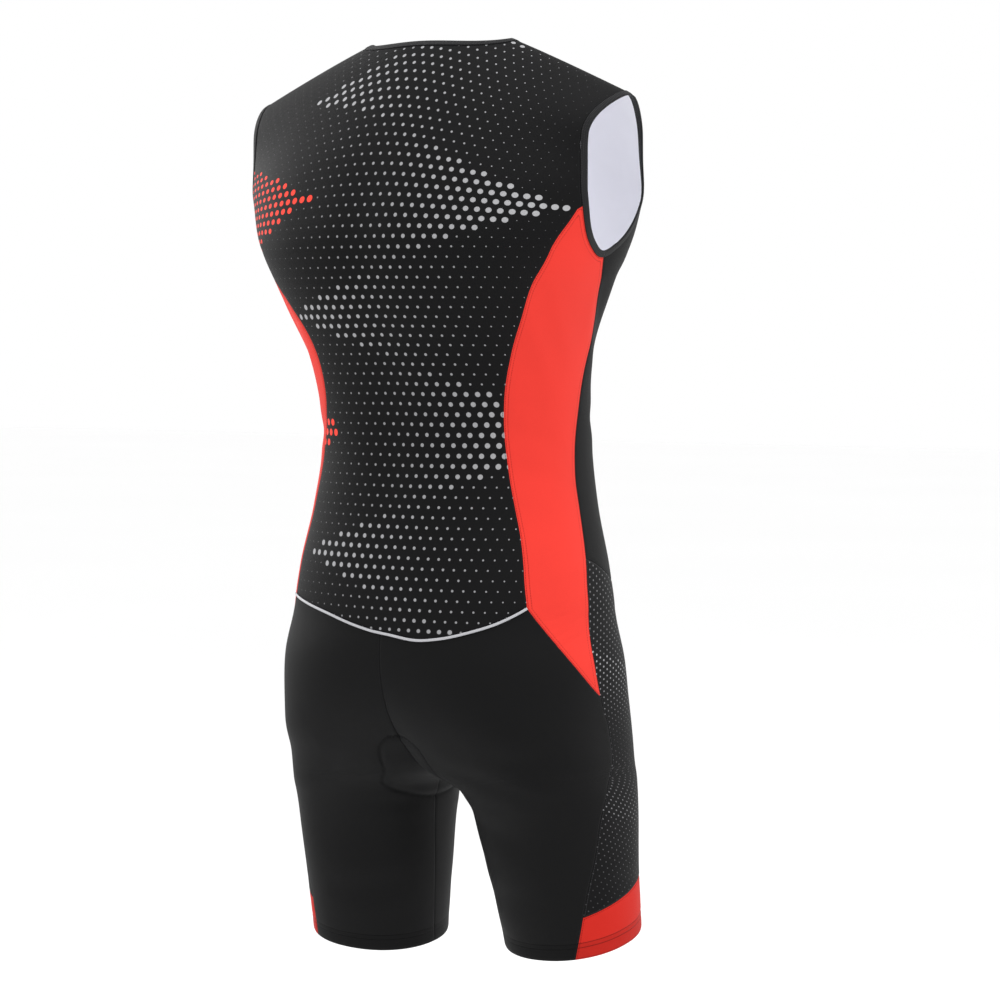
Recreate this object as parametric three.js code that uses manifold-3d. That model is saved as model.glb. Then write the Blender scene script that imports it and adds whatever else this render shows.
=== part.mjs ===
// Sleeveless one-piece triathlon suit in its worn, hollow form, size men's M.
// Millimetres, +Z up. The wearer faces -Y, so the back is at +Y and the wearer's left is +X.
// The origin is at shoulder height on the body's axis, where the wearer holds the suit up.
import * as THREE from "three";
import Module from "manifold-3d";
import { mergeVertices } from "three/addons/utils/BufferGeometryUtils.js";

const wasm = await Module();
wasm.setup();

// Driving dimensions
const WALL = 1.3;
const SEAM_GAP = 0.3;
const ARMPIT_Z = -200;
const ARMHOLE_BOTTOM_Z = -207;
const CROTCH_Z = -691;
const WAIST_Z = -370;
const HEM_Z = -855;

// Shoulder roof: its height at the neck, its fall outwards and how round its ridge is
const NECK_POINT = { half: 86, z: -6 };
const ROOF = { slope: 0.46, round: 60, power: 1.5 };

// Neckline seen from above: half width at the ridge, reach backwards and forwards from it
const NECKLINE = { ridgeY: 18, back: 35, front: 81, lowest: -150 };

// Armhole edge as an angle from the outer side, widest at middleZ
const ARMHOLE = { middleZ: -60, tip: 20, back: { angle: 30, power: 1.5 }, front: { angle: 31, power: 1.6 } };
const ARMHOLE_CORNER_Z = -150;

// Pose: the shoulders lean a little and the left leg hangs lower than the right
const POSE = { lean: 0.02, drop: 9, dropFrom: -560, dropOver: 240, legCentre: 110 };

// The left leg stands a little further out at its hem and in at its thigh, as a share of the width
const LEFT_SPREAD = [
  { z: -560, share: 0 },
  { z: -640, share: -0.016 },
  { z: -690, share: -0.028 },
  { z: -720, share: -0.016 },
  { z: -750, share: 0.004 },
  { z: -790, share: 0.023 },
  { z: -830, share: 0.032 },
  { z: -890, share: 0.034 },
];

// Horizontal sections of one half of the body, from the shoulder to below the hem
const SECTIONS = [
  { z: 40, centre: 0, half: 216, sideY: 18, backY: 130, frontY: -112, power: 2.3, depthPower: 8 },
  { z: 0, centre: 0, half: 216, sideY: 18, backY: 130, frontY: -112, power: 2.3, depthPower: 8 },
  { z: -70, centre: 0, half: 212, sideY: 20, backY: 137, frontY: -126, power: 2.3, depthPower: 3 },
  { z: -140, centre: 0, half: 201, sideY: 20, backY: 143, frontY: -128, power: 2.35, depthPower: 2.3 },
  { z: -200, centre: 0, half: 181, sideY: 17, backY: 144, frontY: -112, power: 2.4, depthPower: 2.4 },
  { z: -250, centre: 0, half: 158, sideY: 10, backY: 132, frontY: -96, power: 2.35, depthPower: 2.35 },
  { z: -300, centre: 0, half: 141, sideY: 4, backY: 110, frontY: -99, power: 2.3, depthPower: 2.3 },
  { z: -370, centre: 0, half: 134, sideY: -4, backY: 94, frontY: -105, power: 2.3, depthPower: 2.3 },
  { z: -440, centre: 0, half: 143, sideY: -2, backY: 100, frontY: -107, power: 2.3, depthPower: 2.3 },
  { z: -500, centre: 0, half: 157, sideY: 0, backY: 110, frontY: -111, power: 2.3, depthPower: 2.3 },
  { z: -545, centre: 2, half: 162, sideY: 0, backY: 114, frontY: -113, power: 2.3, depthPower: 2.3 },
  { z: -580, centre: 19, half: 151, sideY: 0, backY: 116, frontY: -113, power: 2.4, depthPower: 2.4 },
  { z: -620, centre: 44, half: 127, sideY: -2, backY: 110, frontY: -111, power: 2.5, depthPower: 2.5 },
  { z: -660, centre: 71, half: 101, sideY: -6, backY: 95, frontY: -106, power: 2.6, depthPower: 2.6 },
  { z: -690, centre: 87, half: 88, sideY: -10, backY: 80, frontY: -102, power: 2.5, depthPower: 2.5 },
  { z: -700, centre: 98, half: 77, sideY: -12, backY: 75, frontY: -102, power: 2.45, depthPower: 2.45 },
  { z: -716, centre: 103.5, half: 72.5, sideY: -15, backY: 67, frontY: -102, power: 2.35, depthPower: 2.35 },
  { z: -735, centre: 105.5, half: 71, sideY: -18, backY: 59, frontY: -102, power: 2.3, depthPower: 2.3 },
  { z: -790, centre: 108, half: 67, sideY: -28, backY: 44, frontY: -104, power: 2.15, depthPower: 2.15 },
  { z: -850, centre: 112, half: 64, sideY: -37, backY: 28, frontY: -104, power: 2.1, depthPower: 2.1 },
  { z: -890, centre: 114, half: 63, sideY: -42, backY: 20, frontY: -104, power: 2.1, depthPower: 2.1 },
];

// The cloth sits turned on the waist: degrees added to the left seams and taken from the right ones
const TWIST = [
  { z: -150, degrees: 0 },
  { z: -207, degrees: 0 },
  { z: -235, degrees: -4.5 },
  { z: -265, degrees: -9 },
  { z: -300, degrees: -8 },
  { z: -335, degrees: -5 },
  { z: -370, degrees: -1.5 },
  { z: -410, degrees: -0.6 },
  { z: -460, degrees: -0.8 },
  { z: -510, degrees: 0 },
  { z: -560, degrees: 0 },
  { z: -700, degrees: 0 },
  { z: -740, degrees: -2 },
  { z: -772, degrees: -5 },
  { z: -810, degrees: -7 },
  { z: -832, degrees: -5 },
  { z: -855, degrees: -2.5 },
  { z: -885, degrees: 0 },
];

// Seams down the side, in degrees from the back
const SIDE_BACK_SEAM = [
  { z: -150, degrees: 69 },
  { z: -180, degrees: 67.4 },
  { z: -207, degrees: 64.1 },
  { z: -235, degrees: 55.7 },
  { z: -265, degrees: 48.7 },
  { z: -300, degrees: 45.3 },
  { z: -335, degrees: 44.8 },
  { z: -370, degrees: 47.3 },
  { z: -410, degrees: 50 },
  { z: -460, degrees: 53 },
  { z: -510, degrees: 53.8 },
  { z: -550, degrees: 54.2 },
];
const SIDE_FRONT_SEAM = [
  { z: -207, degrees: 91 },
  { z: -236, degrees: 91.1 },
  { z: -265, degrees: 92.5 },
  { z: -292, degrees: 93.1 },
  { z: -330, degrees: 91.6 },
  { z: -366, degrees: 90.6 },
  { z: -404, degrees: 89.4 },
  { z: -442, degrees: 89.4 },
  { z: -481, degrees: 88.5 },
  { z: -521, degrees: 86.6 },
  { z: -560, degrees: 85.1 },
  { z: -590, degrees: 86.8 },
  { z: -612, degrees: 89 },
];
const LEG_BACK_SEAM = [
  { z: -612, degrees: 89 },
  { z: -650, degrees: 91.8 },
  { z: -672, degrees: 91.7 },
  { z: -690, degrees: 89.3 },
  { z: -707, degrees: 83.7 },
  { z: -740, degrees: 69.5 },
  { z: -772, degrees: 58.7 },
  { z: -812, degrees: 44.1 },
  { z: -832, degrees: 40 },
  { z: -855, degrees: 35.6 },
  { z: -885, degrees: 29 },
];
const LEG_FRONT_SEAM = [
  { z: -480, degrees: 124 },
  { z: -600, degrees: 128 },
  { z: -700, degrees: 130 },
  { z: -800, degrees: 130 },
  { z: -885, degrees: 128 },
];
const SIDE_TIP_Z = -612;
const SIDE_TIP_BLUNTNESS = 0.015;
const SIDE_LOWER_BOW = 1.5;

// Seams that run round the body: height against degrees from the back
const PIPING_SEAM = [
  { degrees: -75, z: -519 },
  { degrees: -60, z: -524 },
  { degrees: -35, z: -532 },
  { degrees: -20, z: -539 },
  { degrees: -8, z: -547 },
  { degrees: 2, z: -553.5 },
  { degrees: 10, z: -557 },
  { degrees: 18, z: -555 },
  { degrees: 30, z: -548 },
  { degrees: 42, z: -539 },
  { degrees: 54, z: -526 },
  { degrees: 70, z: -505 },
];
const WAIST_FRONT_SEAM = [
  { degrees: 75.3, z: -476 },
  { degrees: 89.3, z: -485 },
  { degrees: 103.3, z: -499 },
  { degrees: 120.3, z: -510 },
  { degrees: 147.5, z: -518 },
  { degrees: 180, z: -520 },
];
const CUFF_SEAM = [
  { degrees: 30, z: -833 },
  { degrees: 46, z: -829 },
  { degrees: 74, z: -820 },
  { degrees: 91, z: -814 },
  { degrees: 110, z: -807 },
  { degrees: 140, z: -800 },
];

// The hem dips towards one side of each leg
const HEM_DIP = { left: { depth: 15, towards: -55 }, right: { depth: 14, towards: 18 } };

// Chamois pad: its angles at the crease and at its edge, and how low its edge reaches
const PAD = [
  { crease: -32, edge: -26, edgeZ: -652 },
  { crease: -38, edge: -24, edgeZ: -662 },
  { crease: -46, edge: -28, edgeZ: -680 },
  { crease: -58, edge: -41, edgeZ: -700 },
  { crease: -72, edge: -62, edgeZ: -713 },
  { crease: -90, edge: -90, edgeZ: -721 },
  { crease: -108, edge: -118, edgeZ: -713 },
  { crease: -122, edge: -139, edgeZ: -700 },
  { crease: -134, edge: -152, edgeZ: -680 },
  { crease: -142, edge: -156, edgeZ: -662 },
  { crease: -148, edge: -154, edgeZ: -652 },
];
const PAD_SIZE = { highestZ: -546, clear: 4, thick: 6.5, edgeThick: 3, creaseClear: 7.5, columns: 20, rows: 5 };

// Narrow trims
const BINDING = { clear: 0.15, width: 6.5, out: 0.4, thick: 2 };
const PIPING = { width: 4, lift: 0.4, thick: 0.9, stations: 26 };

// Front zip: opening between the panels, its chain, its tapes and where it ends
const ZIP = { halfGap: 4.2, endZ: -415, taperZ: -428, steps: 18 };
const CHAIN = { half: 3, out: 0.2, thick: 2.6 };
const TAPE = { inner: 3.3, outer: 14, depth: 1.75, thick: 0.8 };

// Slider and pull tab, in the slider's own frame: X across, Y out of the chest turned inwards, Z up
const SLIDER = { belowNeck: 9, half: 4.6, tailShare: 0.6, length: 11, lift: 0.35, thick: 3 };
const BRIDGE = { half: 0.9, length: 8.4, leg: 1.5, inside: 2.4, roof: 1.1, sunk: 0.5 };
const PULL = { half: 3.1, length: 24, taperAt: 0.6, thick: 1.3, bar: 1.4, window: 5, windowHalf: 1.7, tipHalf: 2.3 };

// Numbers of cells along and across the panels
const CELLS = {
  neck: 5,
  neckFront: 9,
  shoulder: 6,
  backSeam: 14,
  backArmhole: 9,
  underArm: 4,
  frontSeam: 12,
  frontArmhole: 11,
  lowerEdge: 6,
  legRows: 19,
  crotchRow: 9,
  back: 11,
  front: 12,
  legSideLow: 16,
  legSideHigh: 8,
  legSide: 6,
  cuff: 3,
  armholeEase: 1.6,
};

// Smallest share, which keeps its side's sign, and how near the centre a seam eases to the mid-plane
const CENTRE_SHARE = 1e-6;
const CENTRE_EASE = 30;

// Rounds that find where two curves meet, and steps for measuring a normal
const HALVINGS = 40;
const MEETING_ROUNDS = 20;
const SEAM_ROUNDS = 8;
const NORMAL_STEP = { around: 0.0015, along: 0.6 };

const LEFT = 1;
const RIGHT = -1;
const SIDES = [[LEFT, "left"], [RIGHT, "right"]];
const radians = THREE.MathUtils.degToRad;
const degrees = THREE.MathUtils.radToDeg;
const clamp = THREE.MathUtils.clamp;
const lerp = THREE.MathUtils.lerp;
const signedPower = (value, power) => Math.sign(value) * Math.abs(value) ** power;

function smoothStep(value) {
  const t = clamp(value, 0, 1);
  return t * t * (3 - 2 * t);
}

// A smooth curve through a table's rows, read at one value of its key column
function readTable(table, key, at, column) {
  const rows = table[0][key] < table[1][key] ? table : [...table].reverse();
  let i = 0;
  while (i < rows.length - 2 && at > rows[i + 1][key]) i += 1;
  const slope = (a, b) => (rows[b][column] - rows[a][column]) / (rows[b][key] - rows[a][key]);
  const tangent = (k) => {
    if (k === 0) return slope(0, 1);
    if (k === rows.length - 1) return slope(k - 1, k);
    const before = rows[k][key] - rows[k - 1][key];
    const after = rows[k + 1][key] - rows[k][key];
    return (slope(k - 1, k) * after + slope(k, k + 1) * before) / (before + after);
  };
  const span = rows[i + 1][key] - rows[i][key];
  const t = clamp((at - rows[i][key]) / span, 0, 1);
  return (
    (2 * t ** 3 - 3 * t ** 2 + 1) * rows[i][column] +
    (t ** 3 - 2 * t ** 2 + t) * span * tangent(i) +
    (-2 * t ** 3 + 3 * t ** 2) * rows[i + 1][column] +
    (t ** 3 - t ** 2) * span * tangent(i + 1)
  );
}

function sectionAt(z) {
  const section = {};
  for (const column of ["centre", "half", "sideY", "backY", "frontY", "power", "depthPower"]) {
    section[column] = readTable(SECTIONS, "z", z, column);
  }
  section.centre = Math.max(section.centre, 0);
  return section;
}

// Degrees past the back and front at which the mid-plane cuts a section, 90 where the leg is whole
function midAngle(section) {
  const share = clamp(section.centre / section.half, 0, 1);
  return degrees(Math.asin(share ** (section.power / 2)));
}

// Share of the way round a half section, next to 0 at the centre back or inseam and 1 at the centre front
function shareAt(angle, z) {
  const mid = midAngle(sectionAt(z));
  return Math.max((angle + mid) / (180 + 2 * mid), CENTRE_SHARE);
}

// The same share for a seam that starts at the mid-plane, where the section may be cut off a little early
function shareFromCentre(angle, z) {
  const mid = midAngle(sectionAt(z));
  const nearBack = Math.max(1 - angle / CENTRE_EASE, 0);
  const nearFront = Math.max(1 - (180 - angle) / CENTRE_EASE, 0);
  return shareAt(angle - mid * nearBack + mid * nearFront, z);
}

// Height of the shoulder roof at a distance from the mid-plane
function roofZ(lateral) {
  const rise = Math.hypot(lateral, ROOF.round) - Math.hypot(NECK_POINT.half, ROOF.round);
  return NECK_POINT.z - ROOF.slope * rise;
}

function surfaceAtAngle(side, angle, z) {
  const section = sectionAt(z);
  const up = clamp((z - ARMPIT_Z) / -ARMPIT_Z, 0, 1);
  const depth = (1 - up ** ROOF.power) ** (1 / ROOF.power);
  const sin = Math.sin(radians(angle));
  const cos = Math.cos(radians(angle));
  const lateral = section.centre + section.half * signedPower(sin, 2 / section.power);
  const reach = (cos >= 0 ? section.backY - section.sideY : section.sideY - section.frontY) * depth;
  const y = section.sideY + reach * signedPower(cos, 2 / section.depthPower);
  const height = z > ARMPIT_Z ? lerp(ARMPIT_Z, roofZ(Math.abs(lateral)), up) : z;
  const x = side * lateral * (side === LEFT ? 1 + readTable(LEFT_SPREAD, "z", z, "share") : 1);
  const lean = POSE.lean * x * smoothStep(1 - height / WAIST_Z);
  const drop = POSE.drop * (x / POSE.legCentre) * smoothStep((POSE.dropFrom - height) / POSE.dropOver);
  return new THREE.Vector3(x, y, height + lean - drop);
}

// A point of the cloth's outside: w is the share round the half section, signed by the side
function surface([w, z]) {
  const side = w < 0 ? RIGHT : LEFT;
  const mid = midAngle(sectionAt(z));
  return surfaceAtAngle(side, lerp(-mid, 180 + mid, Math.abs(w)), z);
}

// Outward normal of the cloth
function normalAt([w, z]) {
  const side = w < 0 ? RIGHT : LEFT;
  const share = Math.abs(w);
  const { around, along } = NORMAL_STEP;
  const [before, after] = [Math.max(share - around, CENTRE_SHARE), Math.min(share + around, 1)];
  const high = Math.min(z + along, 0);
  const low = high - 2 * along;
  const turn = surface([side * after, z]).sub(surface([side * before, z]));
  const rise = surface([w, high]).sub(surface([w, low]));
  const normal = rise.cross(turn).multiplyScalar(side);
  if (share <= CENTRE_SHARE && midAngle(sectionAt(z)) < 90) normal.x = 0;
  return normal.normalize();
}

function offsetPoint(place, distance) {
  return surface(place).addScaledVector(normalAt(place), distance);
}

// Evenly or unevenly spaced steps from one value to another
function steps(from, to, count, ease = 1) {
  return Array.from({ length: count + 1 }, (_, i) => lerp(from, to, (i / count) ** ease));
}

// Boundary curves, each a list of places [w, z]

const twistAt = (side, z) => side * readTable(TWIST, "z", z, "degrees");

// Angle of a seam down the side; the front seam of the leg's side panel isn't turned with the waist
function seamAngle(side, table, z) {
  return readTable(table, "z", z, "degrees") + (table === LEG_FRONT_SEAM ? 0 : twistAt(side, z));
}

function seamPlace(side, table, z) {
  return [side * shareAt(seamAngle(side, table, z), z), z];
}

function seamPlaces(side, table, from, to, count) {
  return steps(from, to, count).map((z) => seamPlace(side, table, z));
}

function armholePlace(side, part, z) {
  const { angle, power } = ARMHOLE[part];
  const below = clamp((z - ARMHOLE.middleZ) / (ARMHOLE_BOTTOM_Z - ARMHOLE.middleZ), 0, 1);
  const above = clamp(1 - z / ARMHOLE.middleZ, 0, 1);
  const open = angle * (1 - below ** power) ** (1 / power) - (angle - ARMHOLE.tip) * above ** 2;
  const bearing = part === "back" ? 90 - open : 90 + open;
  return [side * shareAt(bearing, z), z];
}

// Back edge of the armhole, from its corner with the side panel up to the shoulder tip
function armholeBack(side) {
  return steps(ARMHOLE_CORNER_Z, 0, CELLS.backArmhole).map((z) => armholePlace(side, "back", z));
}

// Foot of the armhole, over the side panel
function armholeUnder(side) {
  const corner = armholePlace(side, "back", ARMHOLE_CORNER_Z);
  const end = seamPlace(side, SIDE_FRONT_SEAM, ARMHOLE_BOTTOM_Z);
  return steps(0, 1, CELLS.underArm).map((t, i) => {
    if (i === 0) return corner;
    if (i === CELLS.underArm) return end;
    const z = lerp(ARMHOLE_CORNER_Z, ARMHOLE_BOTTOM_Z, 1 - (1 - t) ** 2);
    return armholePlace(side, "back", z);
  });
}

// Front edge of the armhole, from its foot up to the shoulder tip
function armholeFront(side) {
  return steps(ARMHOLE_BOTTOM_Z, 0, CELLS.frontArmhole, CELLS.armholeEase).map((z, i) => {
    if (i === 0) return seamPlace(side, SIDE_FRONT_SEAM, ARMHOLE_BOTTOM_Z);
    return armholePlace(side, "front", z);
  });
}

// A place on the neckline, which is an oval seen from above: 0 at the back and 180 at the front
function necklinePlace(side, turn, part) {
  const lateral = NECK_POINT.half * Math.sin(radians(turn));
  const reach = Math.abs(Math.cos(radians(turn)));
  const back = part === "back";
  const bearing = (z) => {
    const section = sectionAt(z);
    const angle = degrees(Math.asin((lateral / section.half) ** (section.power / 2)));
    return back ? angle : 180 - angle;
  };
  if (reach < 1e-6) return [side * shareAt(bearing(0), 0), 0];
  const want = (back ? NECKLINE.back : NECKLINE.front) * reach;
  let low = NECKLINE.lowest;
  let high = 0;
  for (let i = 0; i < HALVINGS; i += 1) {
    const z = (low + high) / 2;
    const away = Math.abs(surfaceAtAngle(side, bearing(z), z).y - NECKLINE.ridgeY);
    if (away > want) low = z;
    else high = z;
  }
  return [side * shareAt(bearing(low), low), low];
}

function neckline(side, part) {
  if (part === "back") return steps(0, 90, CELLS.neck).map((turn) => necklinePlace(side, turn, part));
  const zipTurn = 180 - degrees(Math.asin(ZIP.halfGap / NECK_POINT.half));
  return steps(zipTurn, 90, CELLS.neckFront).map((turn) => necklinePlace(side, turn, part));
}

// Shoulder seam along the ridge, from the neck to the tip
function shoulderSeam(side, part) {
  const from = necklinePlace(side, 90, part)[0];
  const to = armholePlace(side, part, 0)[0];
  return steps(from, to, CELLS.shoulder).map((w) => [w, 0]);
}

function hemZ(side, angle) {
  const dip = side === LEFT ? HEM_DIP.left : HEM_DIP.right;
  return HEM_Z - dip.depth * Math.cos(radians(angle - dip.towards));
}

// A seam that runs round the body, read at an angle on one side; both cuffs are equally deep
function roundSeam(table, side, angle) {
  let z = table[0].z;
  for (let i = 0; i < SEAM_ROUNDS; i += 1) {
    const turned = table === PIPING_SEAM ? -side * angle : angle;
    const loose = table === WAIST_FRONT_SEAM ? turned - twistAt(side, z) * smoothStep((180 - angle) / 60) : turned;
    z = readTable(table, "degrees", loose, "z");
  }
  if (table === CUFF_SEAM && side === LEFT) z += hemZ(LEFT, angle) - hemZ(RIGHT, angle);
  return [side * shareFromCentre(angle, z), z];
}

// Where a seam down the side meets a seam round the body
function meeting(side, downTable, roundTable) {
  let z = roundTable[0].z;
  for (let i = 0; i < MEETING_ROUNDS; i += 1) z = roundSeam(roundTable, side, seamAngle(side, downTable, z))[1];
  return { z, angle: seamAngle(side, downTable, z) };
}

function hemPlace(side, angle) {
  const z = hemZ(side, angle);
  return [side * shareAt(angle, z), z];
}

// Where a leg seam runs out into the hem
function hemMeeting(side, table) {
  let z = HEM_Z;
  for (let i = 0; i < MEETING_ROUNDS; i += 1) z = hemPlace(side, seamAngle(side, table, z))[1];
  return { z, angle: seamAngle(side, table, z) };
}

// Centre line of the shorts from the hem up over the crotch, finest at the crotch
function centreLine(side, share, hemAngle, topZ) {
  const hem = hemPlace(side, hemAngle)[1];
  const below = steps(1, 0, CELLS.crotchRow).map((t) => lerp(CROTCH_Z, hem, t ** 1.7));
  const above = steps(0, 1, CELLS.legRows - CELLS.crotchRow).map((t) => lerp(CROTCH_Z, topZ, t ** 1.8));
  return [...below, ...above.slice(1)].map((z) => [side * share, z]);
}

// Grid of places between four boundary curves, moved in from its edges by half the seam gap
function fillPatch({ left, right, top, bottom }) {
  const columns = top.length - 1;
  const rows = left.length - 1;
  const grid = top.map((_, i) => left.map((__, j) => {
    const s = i / columns;
    const t = j / rows;
    return [0, 1].map((k) => {
      const sides = lerp(left[j][k], right[j][k], s);
      const ends = lerp(bottom[i][k], top[i][k], t);
      const corners = lerp(lerp(bottom[0][k], bottom[columns][k], s), lerp(top[0][k], top[columns][k], s), t);
      return sides + ends - corners;
    });
  }));
  return insetPatch(insetPatch(grid, true), false);
}

function insetPatch(grid, alongRows) {
  const next = grid.map((column) => column.map((place) => [...place]));
  const lastColumn = grid.length - 1;
  const lastRow = grid[0].length - 1;
  const move = (i, j, di, dj) => {
    const edge = surface(grid[i][j]);
    const inner = surface(grid[i + di][j + dj]).sub(edge);
    const before = surface(grid[clamp(i - dj, 0, lastColumn)][clamp(j - di, 0, lastRow)]);
    const after = surface(grid[clamp(i + dj, 0, lastColumn)][clamp(j + di, 0, lastRow)]);
    const along = after.sub(before).normalize();
    const across = inner.clone().addScaledVector(along, -inner.dot(along)).length();
    const share = SEAM_GAP / 2 / across;
    next[i][j] = [0, 1].map((k) => lerp(grid[i][j][k], grid[i + di][j + dj][k], share));
  };
  if (alongRows) {
    for (let j = 0; j <= lastRow; j += 1) {
      move(0, j, 1, 0);
      move(lastColumn, j, -1, 0);
    }
  } else {
    for (let i = 0; i <= lastColumn; i += 1) {
      move(i, 0, 0, 1);
      move(i, lastRow, 0, -1);
    }
  }
  return next;
}

// Closed wall between an outer and an inner grid of points
function wallGeometry(outer, inner, closed = false) {
  const columns = outer.length;
  const rows = outer[0].length;
  const index = (layer, i, j) => layer * columns * rows + (i % columns) * rows + j;
  const faces = [];
  const quad = (a, b, c, d) => faces.push(a, b, c, a, c, d);
  const last = closed ? columns : columns - 1;
  for (let i = 0; i < last; i += 1) {
    for (let j = 0; j < rows - 1; j += 1) {
      quad(index(0, i, j), index(0, i + 1, j), index(0, i + 1, j + 1), index(0, i, j + 1));
      quad(index(1, i, j), index(1, i, j + 1), index(1, i + 1, j + 1), index(1, i + 1, j));
    }
    quad(index(0, i, 0), index(1, i, 0), index(1, i + 1, 0), index(0, i + 1, 0));
    quad(index(0, i, rows - 1), index(0, i + 1, rows - 1), index(1, i + 1, rows - 1), index(1, i, rows - 1));
  }
  if (!closed) {
    for (let j = 0; j < rows - 1; j += 1) {
      quad(index(0, 0, j), index(0, 0, j + 1), index(1, 0, j + 1), index(1, 0, j));
      quad(index(0, last, j), index(1, last, j), index(1, last, j + 1), index(0, last, j + 1));
    }
  }
  const points = [...outer.flat(), ...inner.flat()];
  return orientedGeometry(points, faces);
}

// Turns the faces outwards if the body's volume comes out negative
function orientedGeometry(points, faces) {
  let volume = 0;
  for (let k = 0; k < faces.length; k += 3) {
    const [a, b, c] = [points[faces[k]], points[faces[k + 1]], points[faces[k + 2]]];
    volume += a.dot(new THREE.Vector3().crossVectors(b, c));
  }
  const turned = volume < 0 ? [...faces].reverse() : faces;
  const geometry = new THREE.BufferGeometry().setFromPoints(points);
  geometry.setIndex(turned);
  geometry.computeVertexNormals();
  return geometry;
}

function patchWall(boundaries) {
  const grid = fillPatch(boundaries);
  const layer = (depth) => grid.map((column) => column.map((place) => offsetPoint(place, depth)));
  return wallGeometry(layer(0), layer(-WALL));
}

const MATERIALS = {
  black: new THREE.MeshStandardMaterial({ color: 0x1e1e20, roughness: 0.62, metalness: 0 }),
  printed: new THREE.MeshStandardMaterial({ color: 0x2b2b2d, roughness: 0.62, metalness: 0 }),
  red: new THREE.MeshStandardMaterial({ color: 0xec382b, roughness: 0.6, metalness: 0 }),
  binding: new THREE.MeshStandardMaterial({ color: 0x151516, roughness: 0.8, metalness: 0 }),
  piping: new THREE.MeshStandardMaterial({ color: 0xd8d8dc, roughness: 0.45, metalness: 0 }),
  pad: new THREE.MeshStandardMaterial({ color: 0x2c2d31, roughness: 0.9, metalness: 0 }),
  tape: new THREE.MeshStandardMaterial({ color: 0x161617, roughness: 0.85, metalness: 0 }),
  chain: new THREE.MeshStandardMaterial({ color: 0x1a1a1b, roughness: 0.4, metalness: 0 }),
  slider: new THREE.MeshStandardMaterial({ color: 0x202022, roughness: 0.35, metalness: 0.6 }),
};

const suit = new THREE.Group();

function addMesh(name, geometry, material, parent = suit) {
  const mesh = new THREE.Mesh(geometry, MATERIALS[material]);
  mesh.name = name;
  parent.add(mesh);
  return mesh;
}

// One-piece upper back, from armhole to armhole and from the neckline to the piping
function addBackPanel() {
  const edge = (side) => {
    const foot = meeting(side, SIDE_BACK_SEAM, PIPING_SEAM);
    const seam = seamPlaces(side, SIDE_BACK_SEAM, foot.z, ARMHOLE_CORNER_Z, CELLS.backSeam);
    return { foot, places: [...seam.slice(0, -1), ...armholeBack(side)] };
  };
  const half = (side) => [...neckline(side, "back"), ...shoulderSeam(side, "back").slice(1)];
  const bottomHalf = (side, foot) =>
    steps(0, foot.angle, CELLS.neck + CELLS.shoulder).map((angle) => roundSeam(PIPING_SEAM, side, angle));
  const [left, right] = [edge(LEFT), edge(RIGHT)];
  const boundaries = {
    left: right.places,
    right: left.places,
    top: [...half(RIGHT).reverse().slice(0, -1), ...half(LEFT)],
    bottom: [...bottomHalf(RIGHT, right.foot).reverse().slice(0, -1), ...bottomHalf(LEFT, left.foot)],
  };
  addMesh("back_panel", patchWall(boundaries), "printed");
}

// Share round the half section of the front panels' centre edge, which leaves room for the zip
function centreFrontPlace(side, z) {
  const open = ZIP.halfGap * smoothStep((z - ZIP.taperZ) / (ZIP.endZ - ZIP.taperZ));
  return lateralPlace(side, open, z);
}

// A place on the chest at a distance from the mid-plane
function lateralPlace(side, lateral, z) {
  const section = sectionAt(z);
  const angle = degrees(Math.asin(clamp(lateral / section.half, 0, 1) ** (section.power / 2)));
  return [side * shareAt(180 - angle, z), z];
}

function addFrontPanel(side, word) {
  const foot = meeting(side, SIDE_FRONT_SEAM, WAIST_FRONT_SEAM);
  const seam = seamPlaces(side, SIDE_FRONT_SEAM, foot.z, ARMHOLE_BOTTOM_Z, CELLS.frontSeam);
  const top = [...neckline(side, "front"), ...shoulderSeam(side, "front").slice(1)];
  const waistZ = roundSeam(WAIST_FRONT_SEAM, side, 180)[1];
  const centre = [
    ...steps(waistZ, ARMHOLE_BOTTOM_Z, CELLS.frontSeam).slice(0, -1),
    ...steps(ARMHOLE_BOTTOM_Z, top[0][1], CELLS.frontArmhole),
  ].map((z) => centreFrontPlace(side, z));
  centre[centre.length - 1] = top[0];
  const bottom = steps(180, foot.angle, top.length - 1).map((angle) => roundSeam(WAIST_FRONT_SEAM, side, angle));
  const right = [...seam.slice(0, -1), ...armholeFront(side)];
  const boundaries = { left: centre, right, top, bottom };
  addMesh(`front_panel_${word}`, patchWall(boundaries), "black");
}

// Lower edge of the side panel, from its tip on the hip up to the piping's end
function sideLowerEdge(side, bluntness = 0) {
  const corner = meeting(side, SIDE_BACK_SEAM, PIPING_SEAM);
  const tip = seamAngle(side, LEG_BACK_SEAM, SIDE_TIP_Z);
  return steps(bluntness, 1, CELLS.lowerEdge).map((t) => {
    const z = lerp(SIDE_TIP_Z, corner.z, t);
    const bow = SIDE_LOWER_BOW * Math.sin(Math.PI * t);
    return [side * shareAt(lerp(tip, corner.angle, t) - bow, z), z];
  });
}

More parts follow.
